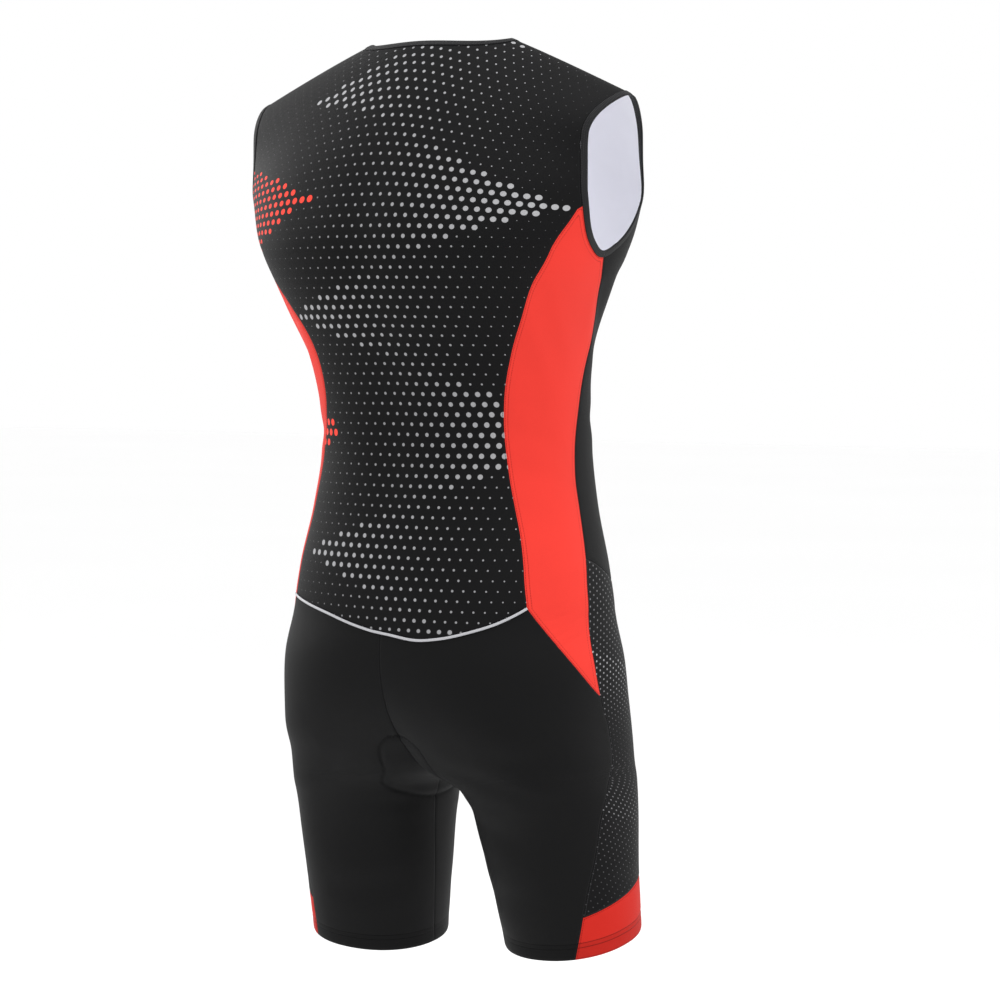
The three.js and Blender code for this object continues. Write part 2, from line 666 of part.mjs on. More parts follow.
function addSidePanel(side, word) {
  const lower = sideLowerEdge(side, SIDE_TIP_BLUNTNESS);
  const corner = lower[lower.length - 1];
  const back = seamPlaces(side, SIDE_BACK_SEAM, corner[1], ARMHOLE_CORNER_Z, CELLS.backSeam);
  const left = [...lower, ...back.slice(1, -1), armholePlace(side, "back", ARMHOLE_CORNER_Z)];
  const waist = meeting(side, SIDE_FRONT_SEAM, WAIST_FRONT_SEAM);
  const right = [
    ...seamPlaces(side, SIDE_FRONT_SEAM, left[0][1], waist.z, CELLS.legSideHigh),
    ...seamPlaces(side, SIDE_FRONT_SEAM, waist.z, ARMHOLE_BOTTOM_Z, CELLS.frontSeam).slice(1),
  ];
  const bottom = steps(0, 1, CELLS.underArm).map((t) => [0, 1].map((k) => lerp(left[0][k], right[0][k], t)));
  const boundaries = { left, right, top: armholeUnder(side), bottom };
  addMesh(`side_panel_${word}`, patchWall(boundaries), "red");
}

function addShortsBack(side, word) {
  const corner = meeting(side, SIDE_BACK_SEAM, PIPING_SEAM);
  const piping = steps(0, corner.angle, CELLS.back).map((angle) => roundSeam(PIPING_SEAM, side, angle));
  const top = [...piping, ...sideLowerEdge(side).reverse().slice(1)];
  const end = hemMeeting(side, LEG_BACK_SEAM);
  const left = centreLine(side, CENTRE_SHARE, -90, top[0][1]);
  const cuffZ = meeting(side, LEG_BACK_SEAM, CUFF_SEAM).z;
  const right = [
    ...seamPlaces(side, LEG_BACK_SEAM, end.z, cuffZ, CELLS.cuff),
    ...seamPlaces(side, LEG_BACK_SEAM, cuffZ, SIDE_TIP_Z, CELLS.legSideLow).slice(1),
  ];
  const bottom = steps(-90, end.angle, top.length - 1).map((angle) => hemPlace(side, angle));
  left[0] = bottom[0];
  right[right.length - 1] = top[top.length - 1];
  addMesh(`shorts_back_${word}`, patchWall({ left, right, top, bottom }), "black");
}

function addShortsFront(side, word) {
  const waist = meeting(side, LEG_FRONT_SEAM, WAIST_FRONT_SEAM);
  const top = steps(180, waist.angle, CELLS.front).map((angle) => roundSeam(WAIST_FRONT_SEAM, side, angle));
  const end = hemMeeting(side, LEG_FRONT_SEAM);
  const left = centreLine(side, 1, 270, top[0][1]);
  const right = seamPlaces(side, LEG_FRONT_SEAM, end.z, waist.z, CELLS.legRows);
  const bottom = steps(270, end.angle, CELLS.front).map((angle) => hemPlace(side, angle));
  left[left.length - 1] = top[0];
  left[0] = bottom[0];
  addMesh(`shorts_front_${word}`, patchWall({ left, right, top, bottom }), "black");
}

// Upper edge of the red cuff, from its back seam to its front seam
function cuffEdge(side) {
  const from = meeting(side, LEG_BACK_SEAM, CUFF_SEAM);
  const to = meeting(side, LEG_FRONT_SEAM, CUFF_SEAM);
  const places = steps(from.angle, to.angle, CELLS.legSide).map((angle) => roundSeam(CUFF_SEAM, side, angle));
  return { from, to, places };
}

function addLegSide(side, word) {
  const cuff = cuffEdge(side);
  const waistBack = meeting(side, SIDE_FRONT_SEAM, WAIST_FRONT_SEAM);
  const waistFront = meeting(side, LEG_FRONT_SEAM, WAIST_FRONT_SEAM);
  const low = seamPlaces(side, LEG_BACK_SEAM, cuff.from.z, SIDE_TIP_Z, CELLS.legSideLow);
  const high = seamPlaces(side, SIDE_FRONT_SEAM, SIDE_TIP_Z, waistBack.z, CELLS.legSideHigh);
  const left = [...low, ...high.slice(1)];
  const right = seamPlaces(side, LEG_FRONT_SEAM, cuff.to.z, waistFront.z, left.length - 1);
  const top = steps(waistBack.angle, waistFront.angle, CELLS.legSide).map((angle) =>
    roundSeam(WAIST_FRONT_SEAM, side, angle),
  );
  addMesh(`leg_side_${word}`, patchWall({ left, right, top, bottom: cuff.places }), "printed");
}

function addCuff(side, word) {
  const cuff = cuffEdge(side);
  const hemFrom = hemMeeting(side, LEG_BACK_SEAM);
  const hemTo = hemMeeting(side, LEG_FRONT_SEAM);
  const left = seamPlaces(side, LEG_BACK_SEAM, hemFrom.z, cuff.from.z, CELLS.cuff);
  const right = seamPlaces(side, LEG_FRONT_SEAM, hemTo.z, cuff.to.z, CELLS.cuff);
  const bottom = steps(hemFrom.angle, hemTo.angle, CELLS.legSide).map((angle) => hemPlace(side, angle));
  addMesh(`cuff_${word}`, patchWall({ left, right, top: cuff.places, bottom }), "red");
}

// Folded band along an edge, standing on from it into an opening
function bandGeometry(places, holeCentre, closed) {
  const count = places.length;
  const points = places.map((place) => surface(place));
  const rough = places.map((place) => normalAt(place));
  const at = (i) => (closed ? (i + count) % count : clamp(i, 0, count - 1));
  const normals = rough.map((normal, i) => normal.clone().add(rough[at(i - 1)]).add(rough[at(i + 1)]).normalize());
  const outer = [];
  const inner = [];
  points.forEach((point, i) => {
    const along = points[at(i + 1)].clone().sub(points[at(i - 1)]).normalize();
    const inwards = new THREE.Vector3().crossVectors(along, normals[i]).normalize();
    if (inwards.dot(holeCentre.clone().sub(point)) < 0) inwards.negate();
    const near = point.clone().addScaledVector(inwards, BINDING.clear);
    const far = near.clone().addScaledVector(inwards, BINDING.width);
    outer.push([near, far].map((p) => p.clone().addScaledVector(normals[i], BINDING.out)));
    inner.push([near, far].map((p) => p.clone().addScaledVector(normals[i], BINDING.out - BINDING.thick)));
  });
  return wallGeometry(outer, inner, closed);
}

function addNeckBinding() {
  const half = (side) => [...neckline(side, "front"), ...neckline(side, "back").reverse().slice(1)];
  const places = [...half(RIGHT), ...half(LEFT).reverse().slice(1)];
  addMesh("neck_binding", bandGeometry(places, new THREE.Vector3(0, 0, 40), false), "binding");
}

function addArmholeBinding(side, word) {
  const places = [
    ...armholeBack(side).reverse().slice(0, -1),
    ...armholeUnder(side).slice(0, -1),
    ...armholeFront(side).slice(0, -1),
  ];
  const centre = new THREE.Vector3(side * 230, 0, -100);
  addMesh(`armhole_binding_${word}`, bandGeometry(places, centre, true), "binding");
}

// Pale piping that lies over the seam between the back and the shorts
function addPiping() {
  const ends = { left: meeting(LEFT, SIDE_BACK_SEAM, PIPING_SEAM), right: meeting(RIGHT, SIDE_BACK_SEAM, PIPING_SEAM) };
  const columns = steps(-ends.right.angle, ends.left.angle, PIPING.stations).map((angle) => {
    const side = angle < 0 ? RIGHT : LEFT;
    const [w, z] = roundSeam(PIPING_SEAM, side, Math.abs(angle));
    return [z - PIPING.width / 2, z + PIPING.width / 2].map((height) => [w, height]);
  });
  const layer = (lift) => columns.map((column) => column.map((place) => offsetPoint(place, lift)));
  addMesh("back_piping", wallGeometry(layer(PIPING.lift + PIPING.thick), layer(PIPING.lift)), "piping");
}

// Height at which the mid-plane cuts the sections at a given angle
function creaseHeight(angle) {
  let low = CROTCH_Z;
  let high = PAD_SIZE.highestZ;
  for (let i = 0; i < HALVINGS; i += 1) {
    const z = (low + high) / 2;
    if (midAngle(sectionAt(z)) > angle) low = z;
    else high = z;
  }
  return low;
}

// Chamois pad inside the crotch: it runs from one inner thigh over the crease to the other
function addPad() {
  const count = PAD_SIZE.columns;
  const rows = PAD.map((row, i) => ({ ...row, t: i / (PAD.length - 1) }));
  const creasePoint = (t) => {
    const angle = readTable(rows, "t", t, "crease");
    const past = Math.min(-angle, 180 + angle);
    return surfaceAtAngle(LEFT, angle, creaseHeight(Math.min(past, 89))).setX(0);
  };
  const place = (t, s) => {
    const crease = readTable(rows, "t", t, "crease");
    const past = Math.min(-crease, 180 + crease);
    const from = creaseHeight(Math.min(past, 89));
    return { angle: lerp(crease, readTable(rows, "t", t, "edge"), s), z: lerp(from, readTable(rows, "t", t, "edgeZ"), s) };
  };
  const column = (t, depth) => {
    const small = 0.01;
    const forward = creasePoint(Math.min(t + small, 1)).sub(creasePoint(Math.max(t - small, 0)));
    const inwards = new THREE.Vector3(0, forward.z, -forward.y).normalize();
    const spine = creasePoint(t).addScaledVector(inwards, PAD_SIZE.creaseClear + depth * PAD_SIZE.thick);
    const half = (side) => steps(0, 1, PAD_SIZE.rows).slice(1).map((s) => {
      const { angle, z } = place(t, s);
      const w = side * shareAt(angle < -90 ? angle + 360 : angle, z);
      const taper = lerp(PAD_SIZE.thick, PAD_SIZE.edgeThick, s ** 3);
      return offsetPoint([w, z], -(PAD_SIZE.clear + depth * taper));
    });
    return [...half(RIGHT).reverse(), spine, ...half(LEFT)];
  };
  const layer = (depth) => steps(0, 1, count).map((t) => column(t, depth));
  addMesh("chamois_pad", wallGeometry(layer(0), layer(1)), "pad");
}

// A strip of the chest between two distances from the mid-plane, along the zip
function zipStrip(from, to, out, thick, topZ) {
  const columns = steps(ZIP.endZ, topZ, ZIP.steps).map((z) => [from, to].map((x) => [x < 0 ? RIGHT : LEFT, x, z]));
  const layer = (distance) =>
    columns.map((column) => column.map(([side, x, z]) => offsetPoint(lateralPlace(side, Math.abs(x), z), distance)));
  return wallGeometry(layer(out), layer(out - thick));
}

function manifoldBox(sizeX, sizeY, sizeZ, x, y, z) {
  const box = new THREE.BoxGeometry(sizeX, sizeY, sizeZ).translate(x, y, z);
  return toManifold(box);
}

function toManifold(geometry) {
  const bare = new THREE.BufferGeometry();
  bare.setAttribute("position", geometry.getAttribute("position"));
  if (geometry.index) bare.setIndex(geometry.index);
  const merged = mergeVertices(bare);
  const vertProperties = new Float32Array(merged.getAttribute("position").array);
  const triVerts = new Uint32Array(merged.index.array);
  return new wasm.Manifold(new wasm.Mesh({ numProp: 3, vertProperties, triVerts }));
}

function fromManifold(solid) {
  const mesh = solid.getMesh();
  const geometry = new THREE.BufferGeometry();
  geometry.setAttribute("position", new THREE.BufferAttribute(mesh.vertProperties, 3));
  geometry.setIndex(new THREE.BufferAttribute(mesh.triVerts, 1));
  geometry.computeVertexNormals();
  return geometry;
}

// Slider body with tapered sides and the bridge that holds the pull tab
function sliderGeometry() {
  const outline = new THREE.Shape();
  outline.moveTo(-SLIDER.half, SLIDER.length / 2);
  outline.lineTo(SLIDER.half, SLIDER.length / 2);
  outline.lineTo(SLIDER.half, 0);
  outline.lineTo(SLIDER.half * SLIDER.tailShare, -SLIDER.length / 2);
  outline.lineTo(-SLIDER.half * SLIDER.tailShare, -SLIDER.length / 2);
  outline.lineTo(-SLIDER.half, 0);
  outline.closePath();
  const plate = new THREE.ExtrudeGeometry(outline, { depth: SLIDER.thick, bevelEnabled: false });
  plate.rotateX(Math.PI / 2).translate(0, -SLIDER.lift, 0);
  const face = -SLIDER.lift - SLIDER.thick;
  const height = BRIDGE.inside + BRIDGE.roof;
  const { sunk } = BRIDGE;
  const legs = [1, -1].map((end) => manifoldBox(
    2 * BRIDGE.half, height + sunk, BRIDGE.leg,
    0, face - height / 2 + sunk / 2, end * (BRIDGE.length - BRIDGE.leg) / 2,
  ));
  const roof = manifoldBox(2 * BRIDGE.half, BRIDGE.roof, BRIDGE.length, 0, face - BRIDGE.inside - BRIDGE.roof / 2, 0);
  return fromManifold(toManifold(plate).add(legs[0]).add(legs[1]).add(roof));
}

// Pull tab with a window at its top, whose bar turns under the slider's bridge
function pullGeometry() {
  const outline = new THREE.Shape();
  outline.moveTo(-PULL.half, PULL.bar / 2);
  outline.lineTo(-PULL.half, -PULL.length * PULL.taperAt);
  outline.lineTo(-PULL.tipHalf, -PULL.length);
  outline.lineTo(PULL.tipHalf, -PULL.length);
  outline.lineTo(PULL.half, -PULL.length * PULL.taperAt);
  outline.lineTo(PULL.half, PULL.bar / 2);
  outline.closePath();
  const hole = new THREE.Path();
  hole.moveTo(-PULL.windowHalf, -PULL.bar / 2);
  hole.lineTo(PULL.windowHalf, -PULL.bar / 2);
  hole.lineTo(PULL.windowHalf, -PULL.window - PULL.bar / 2);
  hole.lineTo(-PULL.windowHalf, -PULL.window - PULL.bar / 2);
  hole.closePath();
  outline.holes.push(hole);
  const tab = new THREE.ExtrudeGeometry(outline, { depth: PULL.thick, bevelEnabled: false });
  return fromManifold(toManifold(tab.rotateX(Math.PI / 2).translate(0, PULL.thick / 2, 0)));
}

function addZip() {
  const topZ = necklinePlace(LEFT, 180, "front")[1];
  addMesh("zip_chain", zipStrip(-CHAIN.half, CHAIN.half, CHAIN.out, CHAIN.thick, topZ), "chain");
  addMesh("zip_tape_left", zipStrip(TAPE.inner, TAPE.outer, -TAPE.depth, TAPE.thick, topZ), "tape");
  addMesh("zip_tape_right", zipStrip(-TAPE.inner, -TAPE.outer, -TAPE.depth, TAPE.thick, topZ), "tape");
  const centre = [LEFT, topZ - SLIDER.belowNeck];
  const normal = normalAt(centre);
  const holder = new THREE.Group();
  holder.position.copy(surface(centre).addScaledVector(normal, CHAIN.out));
  holder.rotation.x = Math.atan2(-normal.z, -normal.y);
  addMesh("zip_slider", sliderGeometry(), "slider", holder);
  const tab = addMesh("zip_pull", pullGeometry(), "slider", holder);
  tab.position.y = -SLIDER.lift - SLIDER.thick - BRIDGE.inside / 2;
  suit.add(holder);
}

addBackPanel();
for (const [side, word] of SIDES) {
  addFrontPanel(side, word);
  addSidePanel(side, word);
  addShortsBack(side, word);
  addShortsFront(side, word);
  addLegSide(side, word);
  addCuff(side, word);
  addArmholeBinding(side, word);
}
addNeckBinding();
addPiping();
addPad();
addZip();

export default suit;
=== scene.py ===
"""Sleeveless triathlon suit: fine knit panels, print, sewing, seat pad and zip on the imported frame.

Sizes are millimetres inside the classes, as a pattern cutter gives them, and metres in the meshes.
"""
import logging
import math
from dataclasses import dataclass, field
from enum import Enum
from functools import partial
from typing import Callable, Sequence

import bpy
import numpy as np
from mathutils import Matrix, Vector


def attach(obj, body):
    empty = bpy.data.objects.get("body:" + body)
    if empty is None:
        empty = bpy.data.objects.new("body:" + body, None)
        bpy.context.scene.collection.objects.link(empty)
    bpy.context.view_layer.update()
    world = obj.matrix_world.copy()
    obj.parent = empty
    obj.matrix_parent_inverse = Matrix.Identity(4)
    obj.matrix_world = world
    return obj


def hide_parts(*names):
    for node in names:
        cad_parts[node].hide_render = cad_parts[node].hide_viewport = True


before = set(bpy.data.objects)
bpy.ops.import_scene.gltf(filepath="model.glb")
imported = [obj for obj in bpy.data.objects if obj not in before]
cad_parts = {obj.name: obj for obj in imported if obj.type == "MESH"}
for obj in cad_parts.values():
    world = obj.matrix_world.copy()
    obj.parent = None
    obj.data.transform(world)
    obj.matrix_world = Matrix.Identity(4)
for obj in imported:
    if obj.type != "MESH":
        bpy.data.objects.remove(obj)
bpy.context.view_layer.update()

LOG = logging.getLogger("suit")
MM = 0.001
BODY = "suit"
Grid = np.ndarray


class Side(Enum):
    """The wearer's left or right, as the sign of X."""

    LEFT = 1
    RIGHT = -1

    @property
    def word(self) -> str:
        """The side's word in node names."""
        return self.name.lower()


class Print(Enum):
    """What is printed on a knit."""

    PLAIN = "plain"
    HALFTONE = "halftone"
    FINE_DOTS = "fine dots"


def smooth(value: Grid) -> Grid:
    """Smooth step from 0 to 1."""
    t = np.clip(value, 0, 1)
    return t * t * (3 - 2 * t)


def signed_power(value: Grid, power: Grid) -> Grid:
    """A power that keeps the sign."""
    return np.sign(value) * np.abs(value) ** power


def unit(vectors: Grid) -> Grid:
    """Vectors scaled to length one."""
    return vectors / np.maximum(np.linalg.norm(vectors, axis=-1, keepdims=True), 1e-12)


def lengths_along(points: Grid) -> Grid:
    """Distance from the first point to each point along the first axis."""
    steps = np.linalg.norm(np.diff(points, axis=0), axis=-1)
    return np.concatenate([np.zeros_like(steps[:1]), np.cumsum(steps, axis=0)])


@dataclass(frozen=True)
class Table:
    """A short table whose first column is the key, read as a smooth curve."""

    columns: tuple[str, ...]
    rows: tuple[tuple[float, ...], ...]

    def read(self, at: Grid, column: str) -> Grid:
        """Reads one column at values of the key.

        Args:
            at: Values of the key; past either end the end row holds.
            column: Name of the column.

        Returns:
            The column's values.
        """
        data = np.array(sorted(self.rows), float)
        keys = data[:, 0]
        values = data[:, self.columns.index(column)]
        at = np.clip(np.asarray(at, float), keys[0], keys[-1])
        gaps = np.diff(keys)
        slopes = np.diff(values) / gaps
        middle = (slopes[:-1] * gaps[1:] + slopes[1:] * gaps[:-1]) / (gaps[1:] + gaps[:-1])
        tangents = np.concatenate([slopes[:1], middle, slopes[-1:]])
        i = np.clip(np.searchsorted(keys, at, side="right") - 1, 0, len(keys) - 2)
        t = (at - keys[i]) / gaps[i]
        rise = (t**3 - 2 * t**2 + t) * tangents[i] + (t**3 - t**2) * tangents[i + 1]
        blend = 3 * t**2 - 2 * t**3
        return values[i] + (values[i + 1] - values[i]) * blend + rise * gaps[i]


def seam_table(*rows: tuple[float, float]) -> Table:
    """Table of a seam's angle, in degrees from the back, at each height."""
    return Table(("z", "degrees"), rows)


@dataclass(frozen=True)
class WornForm:
    """The cloth's outside as worn: sections of one half of the body under a shoulder roof."""

    sections: Table = Table(
        ("z", "centre", "half", "side_y", "back_y", "front_y", "power", "depth_power"),
        (
            (40, 0, 216, 18, 130, -112, 2.3, 8),
            (0, 0, 216, 18, 130, -112, 2.3, 8),
            (-70, 0, 212, 20, 137, -126, 2.3, 3),
            (-140, 0, 201, 20, 143, -128, 2.35, 2.3),
            (-200, 0, 181, 17, 144, -112, 2.4, 2.4),
            (-250, 0, 158, 10, 132, -96, 2.35, 2.35),
            (-300, 0, 141, 4, 110, -99, 2.3, 2.3),
            (-370, 0, 134, -4, 94, -105, 2.3, 2.3),
            (-440, 0, 143, -2, 100, -107, 2.3, 2.3),
            (-500, 0, 157, 0, 110, -111, 2.3, 2.3),
            (-545, 2, 162, 0, 114, -113, 2.3, 2.3),
            (-580, 19, 151, 0, 116, -113, 2.4, 2.4),
            (-620, 44, 127, -2, 110, -111, 2.5, 2.5),
            (-660, 71, 101, -6, 95, -106, 2.6, 2.6),
            (-690, 87, 88, -10, 80, -102, 2.5, 2.5),
            (-700, 98, 77, -12, 75, -102, 2.45, 2.45),
            (-716, 103.5, 72.5, -15, 67, -102, 2.35, 2.35),
            (-735, 105.5, 71, -18, 59, -102, 2.3, 2.3),
            (-790, 108, 67, -28, 44, -104, 2.15, 2.15),
            (-850, 112, 64, -37, 28, -104, 2.1, 2.1),
            (-890, 114, 63, -42, 20, -104, 2.1, 2.1),
        ),
    )
    left_spread: Table = Table(
        ("z", "share"),
        (
            (-560, 0), (-640, -0.016), (-690, -0.028), (-720, -0.016), (-750, 0.004), (-790, 0.023),
            (-830, 0.032), (-890, 0.034),
        ),
    )
    armpit_z: float = -200
    waist_z: float = -370
    lowest_z: float = -890
    neck_half: float = 86
    neck_z: float = -6
    roof_slope: float = 0.46
    roof_round: float = 60
    roof_power: float = 1.5
    lean: float = 0.02
    drop: float = 9
    drop_from: float = -560
    drop_over: float = 240
    leg_centre: float = 110
    centre_share: float = 1e-6
    centre_ease: float = 30

    def section(self, z: Grid) -> dict[str, Grid]:
        """Every column of the section at a height."""
        found = {name: self.sections.read(z, name) for name in self.sections.columns[1:]}
        found["centre"] = np.maximum(found["centre"], 0)
        return found

    def mid_angle(self, section: dict[str, Grid]) -> Grid:
        """Degrees past the back at which the mid-plane cuts a section, 90 on a whole leg."""
        share = np.clip(section["centre"] / section["half"], 0, 1)
        return np.degrees(np.arcsin(share ** (section["power"] / 2)))

    def share(self, angle: Grid, z: Grid) -> Grid:
        """Share of the way round a half section, from the centre back to the centre front."""
        mid = self.mid_angle(self.section(z))
        return np.maximum((angle + mid) / (180 + 2 * mid), self.centre_share)

    def share_from_centre(self, angle: Grid, z: Grid) -> Grid:
        """The same share for a seam that starts at the mid-plane."""
        mid = self.mid_angle(self.section(z))
        near_back = np.maximum(1 - angle / self.centre_ease, 0)
        near_front = np.maximum(1 - (180 - angle) / self.centre_ease, 0)
        return self.share(angle - mid * near_back + mid * near_front, z)

    def roof(self, lateral: Grid) -> Grid:
        """Height of the shoulder roof at a distance from the mid-plane."""
        rise = np.hypot(lateral, self.roof_round) - math.hypot(self.neck_half, self.roof_round)
        return self.neck_z - self.roof_slope * rise

    def at_angle(self, side: Grid, angle: Grid, z: Grid) -> Grid:
        """Point of the outside at an angle from the back and a height.

        Args:
            side: 1 for the wearer's left and -1 for the right.
            angle: Degrees from the back.
            z: Height before the shoulders' roof, the lean and the legs' drop.

        Returns:
            Points in millimetres.
        """
        section = self.section(z)
        up = np.clip((z - self.armpit_z) / -self.armpit_z, 0, 1)
        depth = (1 - up**self.roof_power) ** (1 / self.roof_power)
        sine = np.sin(np.radians(angle))
        cosine = np.cos(np.radians(angle))
        lateral = section["centre"] + section["half"] * signed_power(sine, 2 / section["power"])
        edge = np.where(cosine >= 0, section["back_y"], 2 * section["side_y"] - section["front_y"])
        reach = (edge - section["side_y"]) * depth
        y = section["side_y"] + reach * signed_power(cosine, 2 / section["depth_power"])
        under_roof = self.armpit_z + (self.roof(np.abs(lateral)) - self.armpit_z) * up
        height = np.where(z > self.armpit_z, under_roof, z)
        x = side * lateral * np.where(side > 0, 1 + self.left_spread.read(z, "share"), 1)
        lean = self.lean * x * smooth(1 - height / self.waist_z)
        drop = self.drop * (x / self.leg_centre) * smooth((self.drop_from - height) / self.drop_over)
        return np.stack(np.broadcast_arrays(x, y, height + lean - drop), -1)

    def angle_of(self, places: Grid) -> Grid:
        """Degrees from the back of places on the cloth."""
        mid = self.mid_angle(self.section(places[..., 1]))
        return -mid + (180 + 2 * mid) * np.abs(places[..., 0])

    def point(self, places: Grid) -> Grid:
        """Points of the outside at places, each a signed share of the way round and a height."""
        side = np.where(places[..., 0] < 0, -1, 1)
        return self.at_angle(side, self.angle_of(places), places[..., 1])

    def normal(self, places: Grid) -> Grid:
        """Outward normals of the outside."""
        around = 0.4
        along = 0.6
        side = np.where(places[..., 0] < 0, -1, 1)
        angle = self.angle_of(places)
        z = places[..., 1]
        high = np.minimum(z + along, 0)
        turn = self.at_angle(side, angle + around, z) - self.at_angle(side, angle - around, z)
        rise = self.at_angle(side, angle, high) - self.at_angle(side, angle, high - 2 * along)
        normal = np.cross(rise, turn) * side[..., None]
        joined = (np.abs(places[..., 0]) <= self.centre_share) & (self.mid_angle(self.section(z)) < 90)
        normal[..., 0] = np.where(joined, 0, normal[..., 0])
        return unit(normal)

    def across_chest(self, side: int, lateral: Grid, z: Grid) -> Grid:
        """Places on the front at a distance from the mid-plane."""
        section = self.section(z)
        sine = np.clip(lateral / section["half"], 0, 1) ** (section["power"] / 2)
        return np.stack([side * self.share(180 - np.degrees(np.arcsin(sine)), z), z], -1)

    def cloth_map(self, places: Grid) -> Grid:
        """Cloth coordinates: length round from the centre back or inseam, and length up the back.

        Args:
            places: Places on the cloth.

        Returns:
            The two lengths in metres.
        """
        shares = np.linspace(self.centre_share, 1, 241)
        heights = np.linspace(self.lowest_z, 0, 179)
        share_grid, height_grid = np.meshgrid(shares, heights, indexing="ij")
        rounds = lengths_along(self.point(np.stack([share_grid, height_grid], -1)))
        share = np.clip(np.abs(places[..., 0]), 0, 1) * (len(shares) - 1)
        row = (places[..., 1] - heights[0]) / (heights[1] - heights[0])
        i = np.clip(share.astype(int), 0, len(shares) - 2)
        j = np.clip(row.astype(int), 0, len(heights) - 2)
        s = share - i
        t = row - j
        low = rounds[i, j] * (1 - s) + rounds[i + 1, j] * s
        high = rounds[i, j + 1] * (1 - s) + rounds[i + 1, j + 1] * s
        spine_angle = 15
        spine = lengths_along(self.at_angle(1, np.full_like(heights, spine_angle), heights))
        up = np.interp(places[..., 1], heights, spine - np.interp(self.waist_z, heights, spine))
        side = np.where(places[..., 0] < 0, -1, 1)
        return np.stack([side * (low * (1 - t) + high * t), up], -1) * MM


FORM = WornForm()


@dataclass(frozen=True)
class Cut:
    """Seams, openings and hems of the suit, and the patches between them."""

    armhole_bottom_z: float = -207
    armhole_corner_z: float = -150
    armhole_middle_z: float = -60
    armhole_tip: float = 20
    armhole_open: dict[str, tuple[float, float]] = field(
        default_factory=lambda: {"back": (30, 1.5), "front": (31, 1.6)}
    )
    neck_ridge_y: float = 18
    neck_reach: dict[str, float] = field(default_factory=lambda: {"back": 35, "front": 81})
    neck_lowest: float = -150
    crotch_z: float = -691
    hem_z: float = -855
    hem_dip: dict[Side, tuple[float, float]] = field(
        default_factory=lambda: {Side.LEFT: (15, -55), Side.RIGHT: (14, 18)}
    )
    side_tip_z: float = -612
    side_tip_bluntness: float = 0.015
    zip_half_gap: float = 4.2
    zip_end_z: float = -415
    zip_taper_z: float = -428
    seam_gap: float = 0.06
    edge_loops: tuple[float, ...] = (2.4, 0.9)
    fine: int = 6
    twist: Table = seam_table(
        (-150, 0), (-207, 0), (-235, -4.5), (-265, -9), (-300, -8), (-335, -5), (-370, -1.5),
        (-410, -0.6), (-460, -0.8), (-510, 0), (-560, 0), (-700, 0), (-740, -2), (-772, -5),
        (-810, -7), (-832, -5), (-855, -2.5), (-885, 0),
    )
    side_back: Table = seam_table(
        (-150, 69), (-180, 67.4), (-207, 64.1), (-235, 55.7), (-265, 48.7), (-300, 45.3),
        (-335, 44.8), (-370, 47.3), (-410, 50), (-460, 53), (-510, 53.8), (-550, 54.2),
    )
    side_front: Table = seam_table(
        (-207, 91), (-236, 91.1), (-265, 92.5), (-292, 93.1), (-330, 91.6), (-366, 90.6),
        (-404, 89.4), (-442, 89.4), (-481, 88.5), (-521, 86.6), (-560, 85.1), (-590, 86.8),
        (-612, 89),
    )
    leg_back: Table = seam_table(
        (-612, 89), (-650, 91.8), (-672, 91.7), (-690, 89.3), (-707, 83.7), (-740, 69.5),
        (-772, 58.7), (-812, 44.1), (-832, 40), (-855, 35.6), (-885, 29),
    )
    leg_front: Table = seam_table((-480, 124), (-600, 128), (-700, 130), (-800, 130), (-885, 128))
    piping: Table = Table(
        ("degrees", "z"),
        (
            (-75, -519), (-60, -524), (-35, -532), (-20, -539), (-8, -547), (2, -553.5), (10, -557),
            (18, -555), (30, -548), (42, -539), (54, -526), (70, -505),
        ),
    )
    waist_front: Table = Table(
        ("degrees", "z"),
        (
            (75.3, -476), (89.3, -485), (103.3, -499), (120.3, -510), (147.5, -518), (180, -520),
        ),
    )
    cuff: Table = Table(
        ("degrees", "z"), ((30, -833), (46, -829), (74, -820), (91, -814), (110, -807), (140, -800))
    )

    def steps(self, start: float, end: float, count: int, ease: float = 1) -> Grid:
        """Values from start to end, in the finer count of the cloth."""
        count *= self.fine
        return start + (end - start) * (np.arange(count + 1) / count) ** ease

    def seam_angle(self, side: Side, table: Table, z: Grid) -> Grid:
        """Angle of a seam down the side; the leg's front seam isn't turned with the waist."""
        turned = 0 if table is self.leg_front else side.value * self.twist.read(z, "degrees")
        return table.read(z, "degrees") + turned

    def seam(self, side: Side, table: Table, start: float, end: float, count: int) -> Grid:
        """Places down a seam between two heights."""
        z = self.steps(start, end, count)
        return np.stack([side.value * FORM.share(self.seam_angle(side, table, z), z), z], -1)

    def armhole(self, side: Side, part: str, z: Grid) -> Grid:
        """Places on the armhole's edge.

        Args:
            side: The wearer's left or right.
            part: "back" or "front".
            z: Heights.

        Returns:
            Places on the cloth.
        """
        angle, power = self.armhole_open[part]
        middle = self.armhole_middle_z
        below = np.clip((z - middle) / (self.armhole_bottom_z - middle), 0, 1)
        above = np.clip(1 - z / middle, 0, 1)
        opened = angle * (1 - below**power) ** (1 / power) - (angle - self.armhole_tip) * above**2
        bearing = 90 - opened if part == "back" else 90 + opened
        return np.stack([side.value * FORM.share(bearing, z), z], -1)

    def armhole_back(self, side: Side) -> Grid:
        """Back edge of the armhole, from the side panel's corner up to the shoulder."""
        return self.armhole(side, "back", self.steps(self.armhole_corner_z, 0, 9))

    def armhole_under(self, side: Side) -> Grid:
        """Foot of the armhole, over the side panel."""
        t = self.steps(0, 1, 4)
        z = self.armhole_corner_z + (self.armhole_bottom_z - self.armhole_corner_z) * (1 - (1 - t) ** 2)
        places = self.armhole(side, "back", z)
        places[-1] = self.seam(side, self.side_front, self.armhole_bottom_z, self.armhole_bottom_z, 1)[0]
        return places

